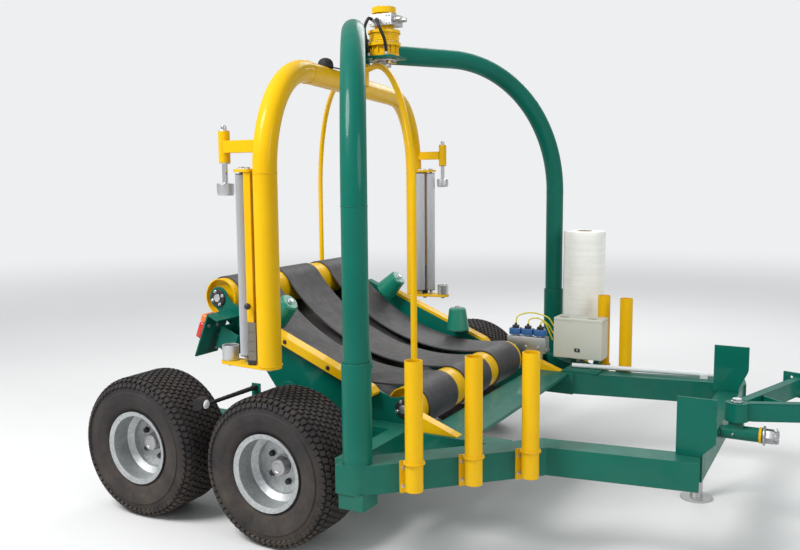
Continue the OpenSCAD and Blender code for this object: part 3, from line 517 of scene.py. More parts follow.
def drum(bm, matrix, radius, length, sides=32, top=None, index=0, bevel=0.0):
    """A round bar whose base sits on the matrix's origin and runs along its Z."""
    made = bmesh.ops.create_cone(bm, cap_ends=True, segments=sides, radius1=radius,
                                 radius2=radius if top is None else top, depth=length,
                                 matrix=matrix @ up(length / 2))["verts"]
    paint_faces(made, index)
    if bevel:
        rims = {edge for vert in made for edge in vert.link_edges
                if any(len(face.verts) == sides for face in edge.link_faces)}
        bmesh.ops.bevel(bm, geom=list(rims), offset=bevel, offset_type="OFFSET", segments=2, profile=0.5,
                        affect="EDGES", material=-1)


def block(bm, matrix, size, index=0, bevel=0.0, segments=2):
    """A box centred on the matrix's origin."""
    made = bmesh.ops.create_cube(bm, size=1.0, matrix=matrix @ Matrix.Diagonal((*size, 1.0)))["verts"]
    paint_faces(made, index)
    if bevel:
        bmesh.ops.bevel(bm, geom=list({edge for vert in made for edge in vert.link_edges}), offset=bevel,
                        offset_type="OFFSET", segments=segments, profile=0.5, affect="EDGES", material=-1)


def revolve(bm, matrix, outline, steps=48, index=0):
    """Spins an outline of (radius, height) points about the matrix's Z axis."""
    verts = [bm.verts.new(matrix @ Vector((radius, 0.0, height))) for radius, height in outline]
    chain = [bm.edges.new(pair) for pair in zip(verts, verts[1:])]
    axis = matrix.to_3x3() @ Vector((0.0, 0.0, 1.0))
    bmesh.ops.spin(bm, geom=verts + chain, cent=matrix.translation, axis=axis, angle=math.tau, steps=steps,
                   use_merge=True)
    wall = {face for edge in chain for face in edge.link_faces}
    edge_faces = set(wall)
    while wall:
        wall = {face for known in wall for edge in known.edges for face in edge.link_faces} - edge_faces
        edge_faces |= wall
    for face in edge_faces:
        face.material_index = index


def bead(bm, matrix, radius, thickness, steps=40, index=0, sides=6):
    """A weld bead or a ring: a small circle spun about the matrix's Z axis."""
    circle = [(radius + thickness * math.cos(turn), thickness * math.sin(turn))
              for turn in [math.tau * side / sides for side in range(sides + 1)]]
    revolve(bm, matrix, circle, steps, index)


def bolt(bm, place, axis, size=0.008, washer=True, index=0):
    """A chamfered hex head on its washer. The size is the radius of the thread."""
    base = facing(place, axis)
    seat = 0.0
    if washer:
        drum(bm, base, size * 2.1, size * 0.32, 20, index=index)
        seat = size * 0.32
    drum(bm, base @ up(seat), size * 1.75, size * 0.9, 6, index=index)
    drum(bm, base @ up(seat + size * 0.9), size * 1.75, size * 0.22, 6, size * 1.45, index=index)


def tube_along(bm, points, radius, sides=12, index=0, per_span=6):
    """A smooth tube through points: a Catmull-Rom curve swept by a circle, closed at both ends."""
    path = [Vector(point) for point in points]
    ends = [2 * path[0] - path[1]] + path + [2 * path[-1] - path[-2]]
    line = []
    for a, b, c, d in zip(ends, ends[1:], ends[2:], ends[3:]):
        for step in range(per_span):
            t = step / per_span
            line.append(0.5 * (2 * b + (c - a) * t + (2 * a - 5 * b + 4 * c - d) * t * t
                               + (3 * b - a - 3 * c + d) * t * t * t))
    line.append(path[-1])
    rings = []
    normal = (line[1] - line[0]).orthogonal().normalized()
    for number, point in enumerate(line):
        along = (line[min(number + 1, len(line) - 1)] - line[max(number - 1, 0)]).normalized()
        normal = (normal - along * normal.dot(along)).normalized()
        across = along.cross(normal)
        rings.append([bm.verts.new(point + radius * (math.cos(turn) * normal + math.sin(turn) * across))
                      for turn in [math.tau * side / sides for side in range(sides)]])
    loops = [[bm.edges.new(pair) for pair in zip(ring, ring[1:] + ring[:1])] for ring in rings]
    for first, second in zip(loops, loops[1:]):
        for face in bmesh.ops.bridge_loops(bm, edges=first + second)["faces"]:
            face.material_index = index
    for ring in (rings[0], rings[-1]):
        bm.faces.new(ring).material_index = index


# %% [markdown]
# The turf tyre is the most recognisable shape at ground level: a wide, low carcass with hundreds of small
# staggered blocks. The carcass is one outline spun about the axle. For the tread one slice of blocks is
# made across the crown and down both shoulders, and spin with use_duplicate copies it round the wheel.

# %% Tyres
BLOCK_HEIGHT = 0.009
BLOCKS_ROUND = 66
ROW_PITCH = 0.0255
SHOULDER = 0.055
BEAD_HALF = 0.1225
BEAD_RADIUS = 0.1551
WALL = 0.014
BLOCK_WIDTH = 0.018
BLOCK_TURN = 0.3
BLOCK_EDGE = 0.0022


def shoulder_point(along, half, radius, lift):
    """A point of the tread, so far along its surface from the middle, and the lean of the surface there."""
    flat = half - SHOULDER
    side = math.copysign(1.0, along)
    if abs(along) <= flat:
        return along, radius - BLOCK_HEIGHT + lift, 0.0
    lean = (abs(along) - flat) / (SHOULDER - BLOCK_HEIGHT / 2)
    arm = SHOULDER - BLOCK_HEIGHT + lift
    return side * (flat + arm * math.sin(lean)), radius - SHOULDER + arm * math.cos(lean), side * lean


def carcass_outline(half, radius):
    """One closed line of (across, radius) points: crown, walls, beads, and back round the inside."""
    outer = [(0.0, radius - BLOCK_HEIGHT)]
    for step in range(1, 9):
        outer.append(shoulder_point(step * (half - SHOULDER + 0.07) / 8, half, radius, 0.0)[:2])
    outer += [(half - 0.0075, radius - 0.064), (half - 0.002, radius - 0.068), (half - 0.001, radius - 0.085),
              (half - 0.002, radius - 0.103), (half - 0.0045, radius - 0.107), (half - 0.008, radius - 0.125),
              (half - 0.016, radius - 0.141), (half - 0.0255, radius - 0.15), (half - 0.03, radius - 0.155),
              (BEAD_HALF, BEAD_RADIUS)]
    inner = [(BEAD_HALF - WALL, BEAD_RADIUS), (half - 0.042, radius - 0.148), (half - 0.024, radius - 0.128),
             (half - 0.016, radius - 0.095), (half - 0.018, radius - 0.06), (half - 0.045, radius - 0.03),
             (half - 0.08, radius - 0.0235), (0.0, radius - 0.0225)]
    right = outer + inner
    return right + [(-across, high) for across, high in reversed(right)]


def turf_tyre(corner):
    low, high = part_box("tyre_" + corner)
    radius, half = (high[2] - low[2]) / 2, (high[1] - low[1]) / 2
    hub = Vector(((low[0] + high[0]) / 2, (low[1] + high[1]) / 2, (low[2] + high[2]) / 2))
    place = facing(hub, (0, 1, 0))
    bm = bmesh.new()
    for number in range(-6, 7):
        across, height, lean = shoulder_point(number * ROW_PITCH, half, radius, BLOCK_HEIGHT / 2 - 0.001)
        stagger = (number % 2) * math.pi / BLOCKS_ROUND
        length = 0.020 if abs(number) < 6 else 0.022
        seat = (swing(stagger) @ shift(height, 0.0, across)
                @ swing(QUARTER - lean, "Y") @ swing(BLOCK_TURN * (-1) ** number))
        size = Matrix.Diagonal((BLOCK_WIDTH, length, BLOCK_HEIGHT + 0.002, 1.0))
        made = bmesh.ops.create_cube(bm, size=1.0, matrix=place @ seat @ size)["verts"]
        top = max({face for vert in made for face in vert.link_faces},
                  key=lambda face: (place.inverted() @ face.calc_center_median()).xy.length
                  + abs((place.inverted() @ face.calc_center_median()).z) * abs(math.sin(lean)))
        bmesh.ops.inset_region(bm, faces=[top], thickness=BLOCK_EDGE, depth=0.0)
    slice_of_blocks = bm.verts[:] + bm.edges[:] + bm.faces[:]
    bmesh.ops.spin(bm, geom=slice_of_blocks, cent=hub, axis=(0, 1, 0), steps=BLOCKS_ROUND - 1,
                   use_duplicate=True, angle=math.tau * (BLOCKS_ROUND - 1) / BLOCKS_ROUND)
    revolve(bm, place, [(high, across) for across, high in carcass_outline(half, radius)], steps=112)
    tyre = piece(bm, "turf_tyre_" + corner, tyre_rubber, "wheel_" + corner, sharp=32.0)
    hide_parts("tyre_" + corner)
    return tyre


CORNERS = ("front_left", "front_right", "rear_left", "rear_right")
for corner in CORNERS:
    made = turf_tyre(corner)
print("triangles in one tyre", sum(len(face.vertices) - 2 for face in made.data.polygons))

# %% [markdown]
# Two frames of reference save a lot of trigonometry: one stands on the arm's axis with X out along the near
# leg, the other sits on the table's pivot with X along the level table.

# %% Places on the arm and the table
ARM_REST = math.radians(12.4 - 90.0)
TABLE_TILT = math.radians(22.5)
arm_axis = Vector((joints["arm_turn"]["pos_m"][0], 0.0, 0.0))
pivot = Vector(joints["table_tilt"]["pos_m"])
on_table = shift(*pivot) @ swing(TABLE_TILT, "Y")
HALVES = (0.0, math.pi)
SIDES = (1.0, -1.0)
ROLL_PLACE = (1.07, -0.208)
PLATE_FACE = 0.615


def on_arm(turn):
    return shift(*arm_axis) @ swing(ARM_REST + turn)

# %% [markdown]
# Each wheel is held by five black bolts with conical seats, set deep in the dish round a turned hub cap.
# The valve stem stands outside their circle. All of it rides on the wheel, so it turns with it.

# %% Wheel bolts and hub caps
BOLT_CIRCLE = 0.074


def wheel_bolts(corner):
    hub = Vector(joints["wheel_%s_turn" % corner]["pos_m"])
    out = math.copysign(1.0, hub.y)
    bm = bmesh.new()
    for number in range(5):
        turn = math.tau * number / 5
        seat = hub + Vector((BOLT_CIRCLE * math.cos(turn), out * 0.001, -BOLT_CIRCLE * math.sin(turn)))
        base = facing(seat, (0.0, out, 0.0))
        drum(bm, base, 0.0125, 0.005, 20, 0.0145)
        drum(bm, base @ up(0.005), 0.0125, 0.011, 6)
        drum(bm, base @ up(0.016), 0.0125, 0.003, 6, 0.0095)
    stem = hub + Vector((0.112, out * 0.002, 0.0))
    drum(bm, facing(stem, (-0.35, out, 0.0)), 0.006, 0.034, 12, 0.005)
    drum(bm, facing(stem + Vector((-0.0115, out * 0.032, 0.0)), (-0.35, out, 0.0)), 0.0062, 0.008, 12, 0.0058)
    piece(bm, "wheel_bolts_" + corner, black_plastic, "wheel_" + corner)
    bm = bmesh.new()
    cap = facing(hub + Vector((0.0, out * 0.0008, 0.0)), (0.0, out, 0.0))
    outline = [(0.047, 0.0), (0.047, 0.003), (0.041, 0.005), (0.0385, 0.012), (0.038, 0.0435),
               (0.034, 0.0495), (0.022, 0.0515), (0.0185, 0.0485), (0.0, 0.048)]
    revolve(bm, cap, outline, 40)
    bead(bm, cap @ up(0.03), 0.0382, 0.0011, 40)
    piece(bm, "hub_cap_" + corner, turned_steel, "wheel_" + corner, sharp=30.0)


for corner in CORNERS:
    wheel_bolts(corner)

# %% [markdown]
# The stretch rollers are extruded aluminium with fine flutes that grip the film. A ring of points on two
# radii is extruded upwards, and black end plugs and a bright shaft end close it.

# %% Fluted stretch rollers
FLUTES = 40
FLUTE_DEPTH = 0.0016


def fluted_roller(name):
    low, high = (Vector(corner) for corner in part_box("stretch_roller_" + name))
    centre = (low + high) / 2
    radius = (high.x - low.x) / 2
    body_low, body_high = low.z + 0.0297, high.z - 0.0097
    bm = bmesh.new()
    circle = bmesh.ops.create_circle(bm, segments=FLUTES * 3, radius=radius,
                                     matrix=shift(centre.x, centre.y, body_low))["verts"]
    for number, vert in enumerate(circle):
        if number % 3 == 0:
            inwards = (Vector((centre.x, centre.y, vert.co.z)) - vert.co).normalized()
            vert.co += inwards * FLUTE_DEPTH
    skin = bmesh.ops.extrude_edge_only(bm, edges=list({edge for vert in circle for edge in vert.link_edges}))
    lifted = [item for item in skin["geom"] if isinstance(item, bmesh.types.BMVert)]
    bmesh.ops.translate(bm, verts=lifted, vec=(0.0, 0.0, body_high - body_low))
    for ends in (circle, lifted):
        bmesh.ops.contextual_create(bm, geom=ends)
    for height, direction in ((body_low, -1.0), (body_high, 1.0)):
        plug = facing((centre.x, centre.y, height), (0.0, 0.0, direction))
        revolve(bm, plug, [(0.0, 0.0035), (0.013, 0.0035), (0.014, 0.001), (0.0205, 0.001), (0.0215, 0.004),
                           (radius - 0.001, 0.004), (radius - 0.0004, 0.0)], 36, index=1)
    drum(bm, shift(centre.x, centre.y, low.z), 0.01, high.z - low.z, 24, index=2)
    made = piece(bm, "fluted_roller_" + name, [drawn_alloy, black_plastic, turned_steel], "stretch_" + name,
                 sharp=20.0)
    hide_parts("stretch_roller_" + name)


for name in ("near_a", "near_b", "far_a", "far_b"):
    fluted_roller(name)

# %% [markdown]
# The film sits between two cups. The lower one is a turned steel pot with a rolled lip, the upper one a
# steel plug on a chromed rod that goes up into the yellow sleeve.

# %% Film cups
def film_cups():
    low, high = (Vector(corner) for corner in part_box("lower_cups"))
    tall = high.z - low.z
    upper_low, upper_high = (corner[2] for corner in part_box("upper_cups"))
    lower, upper = bmesh.new(), bmesh.new()
    for turn in HALVES:
        foot = on_arm(turn) @ shift(*ROLL_PLACE, low.z)
        revolve(lower, foot, [(0.0, 0.0), (0.0335, 0.0), (0.0345, 0.002), (0.035, 0.006),
                              (0.0355, tall - 0.006), (0.036, tall - 0.003), (0.0355, tall - 0.0008),
                              (0.034, tall), (0.0325, tall - 0.001), (0.0322, tall - 0.004),
                              (0.0318, 0.012), (0.0, 0.011)], 56)
        bolt(lower, foot @ Vector((0.0, 0.0, 0.011)), (0, 0, 1), 0.007)
        plug = on_arm(turn) @ shift(*ROLL_PLACE, upper_low)
        revolve(upper, plug, [(0.0, 0.0), (0.031, 0.0), (0.0335, 0.003), (0.036, 0.016), (0.036, 0.044),
                              (0.0352, 0.0485), (0.033, 0.05), (0.015, 0.05), (0.012, 0.053)], 56)
        drum(upper, plug @ up(0.052), 0.0118, upper_high - upper_low - 0.056, 32, index=1)
        drum(upper, plug @ up(upper_high - upper_low - 0.004), 0.0118, 0.004, 32, 0.009)
    made = piece(lower, "film_pots", plated_steel, "arm", sharp=28.0)
    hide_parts("lower_cups")
    made = piece(upper, "film_plugs", [plated_steel, chrome], "arm", sharp=28.0)
    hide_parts("upper_cups")


film_cups()

# %% [markdown]
# The spare roll stands over a film post, so its end shows what film looks like on a card core: a flat spiral
# of edges, a rounded outer corner, and the brown tube standing a little proud.

# %% Spare film roll
def spare_roll():
    low, high = (Vector(corner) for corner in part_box("spare_film_roll"))
    radius = (high.x - low.x) / 2
    foot = shift((low.x + high.x) / 2, (low.y + high.y) / 2, low.z)
    tall = high.z - low.z
    core = 0.0385
    wall = 0.006
    bm = bmesh.new()
    side = [(radius - 0.0006 * math.sin(7.0 * step), 0.006 + (tall - 0.012) * step / 14)
            for step in range(15)]
    ends = []
    for step in range(9):
        reach = core + wall + (radius - 0.004 - core - wall) * step / 8
        ends.append((reach, 0.0012 * (step % 2)))
    outline = [(core + 0.0055, 0.004)] + ends + [(radius - 0.001, 0.002)] + side
    outline.append((radius - 0.001, tall - 0.002))
    outline += [(reach, tall - height - 0.001) for reach, height in reversed(ends)]
    outline.append((core + 0.0055, tall - 0.006))
    revolve(bm, foot, outline, 72)
    tube = [(core, 0.0), (core + wall, 0.0), (core + wall, tall), (core, tall), (core, 0.0)]
    revolve(bm, foot, tube, 48, index=1)
    roll = piece(bm, "wound_roll", [stretch_film, core_card], "frame", sharp=50.0)
    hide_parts("spare_film_roll")


spare_roll()

# %% [markdown]
# Tubes that are bent and then welded always show it: a fine bead where a bend meets a straight leg. The near
# half of the arm also carries a black vent dome and the sensor wire that runs along its top.

# %% Arm trim
ARM_TUBE = 0.05
ARM_REACH = 1.127
ARM_TOP = 2.04
ARM_BEND = 0.45
ARM_BOTTOM = 0.8


def arm_trim():
    beads, dark = bmesh.new(), bmesh.new()
    for turn in HALVES:
        half = on_arm(turn)
        bead(beads, half @ shift(ARM_REACH, 0, ARM_TOP - ARM_BEND), ARM_TUBE + 0.0002, 0.0022)
        bead(beads, half @ shift(ARM_REACH, 0, ARM_BOTTOM + 0.002), ARM_TUBE + 0.001, 0.0035)
        level = half @ shift(ARM_REACH - ARM_BEND, 0, ARM_TOP) @ swing(QUARTER, "Y")
        bead(beads, level, ARM_TUBE + 0.0002, 0.0022)
    near = on_arm(HALVES[0])
    dome = near @ shift(0.43, 0.0, ARM_TOP + ARM_TUBE - 0.004)
    revolve(dark, dome, [(0.0, 0.047), (0.012, 0.046), (0.024, 0.041), (0.033, 0.031), (0.037, 0.018),
                         (0.038, 0.004), (0.041, 0.003), (0.041, 0.0)], 32)
    wire_run = ((0.4, 0.02, 0.052), (0.3, 0.03, 0.054), (0.2, 0.028, 0.055), (0.12, 0.02, 0.056),
                (0.085, 0.01, 0.08))
    tube_along(dark, [near @ Vector((x, y, ARM_TOP + z)) for x, y, z in wire_run], 0.0035, 8)
    piece(beads, "arm_weld_beads", yellow_enamel, "arm", sharp=60.0)
    piece(dark, "arm_vent_and_wire", lamp_rubber, "arm")


arm_trim()

# %% [markdown]
# The frame's fittings are placed in millimetres, counted from the plane of the arch legs. A gearbox looks
# cast and machined because of its ribs, flange bolts and plugs, so those are added to its drums.

# %% Places on the frame
ARCH_AHEAD = 0.7
LEGS_X = arm_axis.x + ARCH_AHEAD
FRAME_TOP = 476.0
SWIVEL_HEIGHT = 450
YAW_PIN = (1225, 0, 505)
YAW_PIN_TOP = 585


def at(x, y, z):
    return Vector((LEGS_X + x / 1000, y / 1000, z / 1000))


# %% Gearbox and drive valve
GEARBOX = at(-525, 0, 2178)


def gearbox_trim():
    ribs, steel = bmesh.new(), bmesh.new()
    base = shift(*GEARBOX)
    for number in range(12):
        turn = base @ swing(math.tau * number / 12)
        block(ribs, turn @ shift(0.068, 0, 0.033), (0.01, 0.007, 0.038), bevel=0.0012)
        bolt(steel, turn @ Vector((0.0785, 0.0, 0.0678)), (0, 0, 1), 0.0035)
        bolt(steel, turn @ swing(0.26) @ Vector((0.066, 0.0, 0.1278)), (0, 0, 1), 0.004)
        if number % 2:
            bolt(steel, turn @ Vector((0.051, 0.0, 0.2438)), (0, 0, 1), 0.004, washer=False)
    for height in (0.079, 0.091, 0.103):
        bead(ribs, base @ up(height), 0.0746, 0.0026, 48)
    bead(ribs, base @ up(0.001), 0.0756, 0.003, 48)
    drum(steel, base @ up(0.2438), 0.017, 0.006, 6)
    drum(steel, facing(GEARBOX + Vector((0.034, -0.053, 0.04)), (0.54, -0.84, 0)), 0.009, 0.014, 6)
    piece(ribs, "gearbox_ribs", yellow_enamel, "frame")
    for y, z in ((0.03, 0.18), (-0.03, 0.178)):
        seat = facing(GEARBOX + Vector((0.0748, y, z)), (1, 0, 0))
        drum(steel, seat, 0.014, 0.012, 6)
        drum(steel, seat @ up(0.012), 0.011, 0.026, 24, bevel=0.0015)
    for x, y in ((-0.046, -0.0598), (0.046, -0.0598), (0.062, -0.0598)):
        for z in (0.16, 0.196):
            drum(steel, facing(GEARBOX + Vector((x, y, z)), (0, -1, 0)), 0.0045, 0.004, 16, bevel=0.0006)
    under = base @ up(-0.0122)
    for start, length, radius in ((0.0, 0.009, 0.062), (0.009, 0.014, 0.04), (0.023, 0.016, 0.034)):
        drum(steel, under @ up(-start - length), radius, length, 40, bevel=0.001, index=int(start > 0) * 2)
    for number in range(6):
        turn = under @ swing(math.tau * number / 6)
        bolt(steel, turn @ Vector((0.052, 0, -0.0088)), (0, 0, -1), 0.004)
    for y in (-0.024, 0.024):
        drum(steel, facing(GEARBOX + Vector((0.03, y, -0.03)), (0.8, y * 20, 0)), 0.008, 0.022, 6, index=1)
    piece(steel, "gearbox_bolts", [plated_steel, brass, turned_steel], "frame")


gearbox_trim()

# %% [markdown]
# Hoses are swept along the same points as their solids. A crimped ferrule and a hex nut close each end, and
# the rubber between them is a smooth curve.

# %% Hoses and cables
def hose_set(name, node, origin, routes, start, end, sizes, materials):
    """Hoses through given points in millimetres. Each leaves along start and arrives along end."""
    radius, ferrule, length = sizes
    start, end = Vector(start), Vector(end)
    bm = bmesh.new()
    for route in routes:
        way = [origin + Vector(point) / 1000 for point in route]
        points = [way[0] + start * length - start * 0.004] + way[1:-1] + [way[-1] - end * length]
        tube_along(bm, points, radius, 14)
        for place, axis in ((way[0], start), (way[-1], -end)):
            seat = facing(place, axis)
            drum(bm, seat, ferrule, length * 0.42, 6, index=1)
            drum(bm, seat @ up(length * 0.42), ferrule * 0.86, length * 0.56, 20, ferrule * 0.8, index=1)
            for part in (0.55, 0.72, 0.88):
                bead(bm, seat @ up(length * part), ferrule * 0.84, ferrule * 0.06, 20, index=1, sides=4)
    made = piece(bm, name, materials, "frame", sharp=34.0)
    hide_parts(node)


DOWN = (0, 0, -1)
BLOCK_CORNER = at(-125, 707, FRAME_TOP)
hose_set("drive_hose_pair", "drive_hoses", GEARBOX,
         [[(-30, -60, 180), (-34, -100, 180), (-50, -112, 134), (-52, -96, 84), (-52, -81, 46),
           (-51, -71, 0)],
          [(6, -60, 172), (14, -102, 170), (40, -114, 126), (54, -98, 80), (53, -81, 46), (51, -71, 0)]],
         (0, -1, 0), DOWN, (0.008, 0.01, 0.018), [hose_rubber, plated_steel])
hose_set("valve_hose_pair", "valve_hoses", BLOCK_CORNER,
         [[(24, 70, 130), (28, 104, 132), (34, 130, 92), (38, 134, 50), (38, 134, 0)],
          [(66, 70, 130), (72, 116, 134), (78, 146, 94), (80, 152, 50), (80, 152, 0)]],
         (0, 1, 0), DOWN, (0.0085, 0.012, 0.02), [hose_rubber, plated_steel])
hose_set("coil_cables", "box_cables", BLOCK_CORNER,
         [[(40, 35, 230), (50, 48, 282), (120, 82, 300), (206, 106, 276), (238, 110, 236), (265, 110, 218)],
          [(115, 35, 230), (122, 44, 266), (164, 68, 272), (214, 86, 240), (240, 90, 200), (265, 90, 184)],
          [(190, 35, 230), (194, 40, 256), (212, 54, 248), (230, 66, 204), (246, 70, 166), (265, 70, 150)]],
         (0, 0, 1), (1, 0, 0), (0.004, 0.008, 0.012), [cable_yellow, black_plastic])

# %% [markdown]
# The valve block is a machined bar with three blue coils. Each has a black connector and a nut on top,
# and the ports that are not in use are plugged.

# %% Valve block
def valve_block():
    bm = bmesh.new()
    corner = shift(*BLOCK_CORNER)
    block(bm, corner @ shift(0.115, 0.035, 0.125), (0.23, 0.07, 0.09), bevel=0.0015)
    for x in (0.04, 0.19):
        block(bm, corner @ shift(x, 0.016, 0.0408), (0.04, 0.012, 0.0812))
        bolt(bm, corner @ Vector((x, 0.0102, 0.012)), (0, -1, 0), 0.005)
    for number in range(3):
        x = 0.04 + 0.075 * number
        foot = corner @ shift(x, 0.035, 0.1695)
        drum(bm, foot, 0.0165, 0.007, 6)
        block(bm, foot @ up(0.0255), (0.066, 0.05, 0.037), index=1, bevel=0.004)
        block(bm, foot @ up(0.0515), (0.034, 0.03, 0.018), index=2, bevel=0.003)
        drum(bm, foot @ shift(0.022, 0, 0.0435), 0.008, 0.006, 6)
        plug = corner @ shift(x, -0.0002, 0.112) @ swing(QUARTER, "X")
        drum(bm, plug, 0.0105, 0.006, 6)
        drum(bm, plug @ up(0.006), 0.006, 0.002, 20)
    for y, z in ((0.02, 0.1), (0.05, 0.1), (0.035, 0.146)):
        drum(bm, facing(BLOCK_CORNER + Vector((0.2298, y, z)), (1, 0, 0)), 0.009, 0.008, 6)
    made = piece(bm, "machined_valve_block", [plated_steel, coil_blue, black_plastic], "frame")
    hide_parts("valve_block")


valve_block()

# %% [markdown]
# The control box is a moulded case with rounded corners, a fine seam under its lid, a black latch low on its
# front and two black slots on top. It stands on two feet on a plain green shelf.

# %% Control box
BOX_CORNER = at(140, 750, FRAME_TOP + 60)
BOX_SIZE = (0.28, 0.13, 0.23)


def control_box():
    bm = bmesh.new()
    length, depth, tall = BOX_SIZE
    corner = shift(*BOX_CORNER)
    centre = corner @ shift(length / 2, depth / 2, 0)
    block(bm, centre @ up(tall / 2), (length, depth, tall), bevel=0.005, segments=3)
    block(bm, centre @ shift(0, -0.001, tall - 0.0145), (length + 0.0006, depth - 0.002, 0.0012), index=1)
    block(bm, centre @ shift(0.0, -depth / 2 + 0.0004, 0.05), (0.032, 0.0025, 0.022), index=1, bevel=0.004)
    block(bm, centre @ shift(0.0, -depth / 2 - 0.0006, 0.05), (0.009, 0.0035, 0.01), index=2, bevel=0.001)
    for x in (-0.085, 0.075):
        block(bm, centre @ shift(x, -0.035, tall), (0.05, 0.017, 0.0014), index=1, bevel=0.0006)
    for x in (0.105, 0.235):
        block(bm, corner @ shift(x, 0.086, -0.0255), (0.03, 0.072, 0.053), index=3)
    block(bm, shift(*at(320, 772.5, FRAME_TOP + 4)), (0.2, 0.215, 0.008), index=3, bevel=0.0012)
    made = piece(bm, "moulded_control_box", [case_beige, black_plastic, plated_steel, green_enamel], "frame")
    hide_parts("control_box")


control_box()

# %% [markdown]
# Lamps are small but eyes go to them. The marker lamp is a round rubber housing on a tapering rubber arm,
# with a domed white lens ahead and a red one behind. The tail lamps stack orange over red in a pale rim.

# %% Marker and tail lamps
ARM_RINGS = 9
RING_PITCH = 0.0337
LENS_FRONT = Vector((0.0255, 0, 0))
TAIL_LAMP = (-0.513, 0.715, 0.105)


def marker_lamps():
    bm = bmesh.new()
    for sign in SIDES:
        beam = at(-865, sign * 630, FRAME_TOP)
        foot = shift(*beam)
        block(bm, foot @ shift(0, sign * 0.03, 0.004), (0.05, 0.06, 0.008), index=1)
        block(bm, foot @ shift(0, sign * 0.056, 0.055), (0.05, 0.008, 0.11), index=1, bevel=0.001)
        bolt(bm, beam + Vector((0.0, sign * 0.024, 0.0078)), (0, 0, 1), 0.006, index=2)
        root = facing(beam + Vector((0.0, sign * 0.0604, 0.092)), (0, sign, 0))
        block(bm, root @ up(0.012), (0.024, 0.024, 0.024), bevel=0.004)
        for number in range(ARM_RINGS):
            drum(bm, root @ up(0.024 + RING_PITCH * number), 0.0118 - 0.0003 * number, 0.03, 20,
                 0.0108 - 0.0003 * number, bevel=0.0016)
            drum(bm, root @ up(0.052 + RING_PITCH * number), 0.0088, 0.008, 16)
        eye = at(-895, sign * 1039.5, 568)
        drum(bm, facing(eye - Vector((0, 0.0275, 0)), (0, 1, 0)), 0.0295, 0.055, 40, bevel=0.004)
        bead(bm, facing(eye + Vector((0.026, 0, 0)), (1, 0, 0)), 0.0225, 0.004, 40)
        revolve(bm, facing(eye + LENS_FRONT, (1, 0, 0)),
                [(0.0212, -0.004), (0.021, 0.004), (0.018, 0.0082), (0.012, 0.0112), (0.005, 0.0126),
                 (0.0, 0.0128)], 36, index=3)
        revolve(bm, facing(eye - LENS_FRONT, (-1, 0, 0)),
                [(0.0212, -0.004), (0.021, 0.0015), (0.018, 0.0035), (0.01, 0.0045), (0.0, 0.0046)], 36,
                index=4)
    made = piece(bm, "rubber_marker_lamps",
                 [lamp_rubber, green_enamel, plated_steel, lamp_white, lamp_red], "frame")
    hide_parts("marker_lamps")


def tail_lamps():
    bm = bmesh.new()
    for sign in SIDES:
        middle = on_table @ shift(TAIL_LAMP[0], sign * TAIL_LAMP[1], TAIL_LAMP[2])
        block(bm, middle @ shift(0.0185, 0, 0), (0.009, 0.09, 0.13), bevel=0.002)
        for index, height, tall in ((1, -0.0215, 0.083), (2, 0.0415, 0.042)):
            block(bm, middle @ shift(-0.0045, 0, height), (0.037, 0.084, tall), index, 0.009, 3)
        for y in (-0.03, 0.03):
            bolt(bm, middle @ Vector((0.0308, y, 0.02)), middle.to_3x3() @ Vector((1, 0, 0)), 0.0045, index=3)
    made = piece(bm, "stacked_tail_lamps", [lamp_white, lamp_red, lamp_orange, plated_steel], "table")
    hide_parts("tail_lamps")


marker_lamps()
tail_lamps()

# %% [markdown]
# The swivel ends in a castle nut. Six slots are left between the teeth round its top, and a split pin lies
# through one pair of them. A yellow grease band marks the mouth of the tube.

# %% Swivel pin and castle nut
def swivel_pin():
    bm = bmesh.new()
    root = facing(at(1160, 0, SWIVEL_HEIGHT), (1, 0, 0))
    drum(bm, root, 0.0225, 0.182, 48)
    drum(bm, root @ up(0.176), 0.042, 0.008, 48, bevel=0.001)
    nut = root @ up(0.184) @ swing(math.pi / 6)
    drum(bm, nut, 0.033, 0.034, 6, bevel=0.0012)
    drum(bm, nut @ up(0.034), 0.0225, 0.016, 32, bevel=0.002)
    for number in range(6):
        tooth = nut @ swing(math.tau * number / 6 + math.pi / 6)
        block(bm, tooth @ shift(0.0235, 0, 0.0438), (0.0095, 0.0175, 0.0204), bevel=0.0012)
    for side in (-1, 1):
        tail = ((-0.034, 0.0, 0.045), (0.0, 0.0, 0.045), (0.031, side * 0.001, 0.045),
                (0.038, side * 0.008, 0.044), (0.036, side * 0.018, 0.042))
        tube_along(bm, [nut @ Vector(point) for point in tail], 0.0022, 8)
    bead(bm, nut @ shift(-0.037, 0, 0.045) @ swing(QUARTER, "X"), 0.0045, 0.002, 16)
    made = piece(bm, "castle_nut_and_pin", turned_steel, "frame", sharp=30.0)
    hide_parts("swivel_pin")


def swivel_trim():
    bm = bmesh.new()
    mouth = facing(at(1163, 0, SWIVEL_HEIGHT), (1, 0, 0))
    revolve(bm, mouth @ up(0.156), [(0.0316, 0.0), (0.0345, 0.001), (0.0345, 0.011), (0.0316, 0.012)], 48)
    nipple = facing(at(1215, -31.3, SWIVEL_HEIGHT), (0, -1, 0))
    drum(bm, nipple, 0.0045, 0.006, 6, index=1)
    tip = [(0.0025, 0), (0.0025, 0.004), (0.0035, 0.006), (0.003, 0.009), (0, 0.01)]
    revolve(bm, nipple @ up(0.006), tip, 16, index=1)
    for offset in (0.0, 0.166):
        bead(bm, mouth @ up(0.004 + offset), 0.0316, 0.0022, 48, index=2)
    piece(bm, "swivel_band_and_nipple", [yellow_enamel, plated_steel, green_enamel], "swivel")
    pin = bmesh.new()
    head = shift(*at(*YAW_PIN[:2], YAW_PIN_TOP))
    drum(pin, head @ up(0.0005), 0.024, 0.005, 40, bevel=0.0008)
    drum(pin, head @ up(0.0055), 0.021, 0.0105, 6)
    piece(pin, "yaw_pin_head", plated_steel, "swivel")


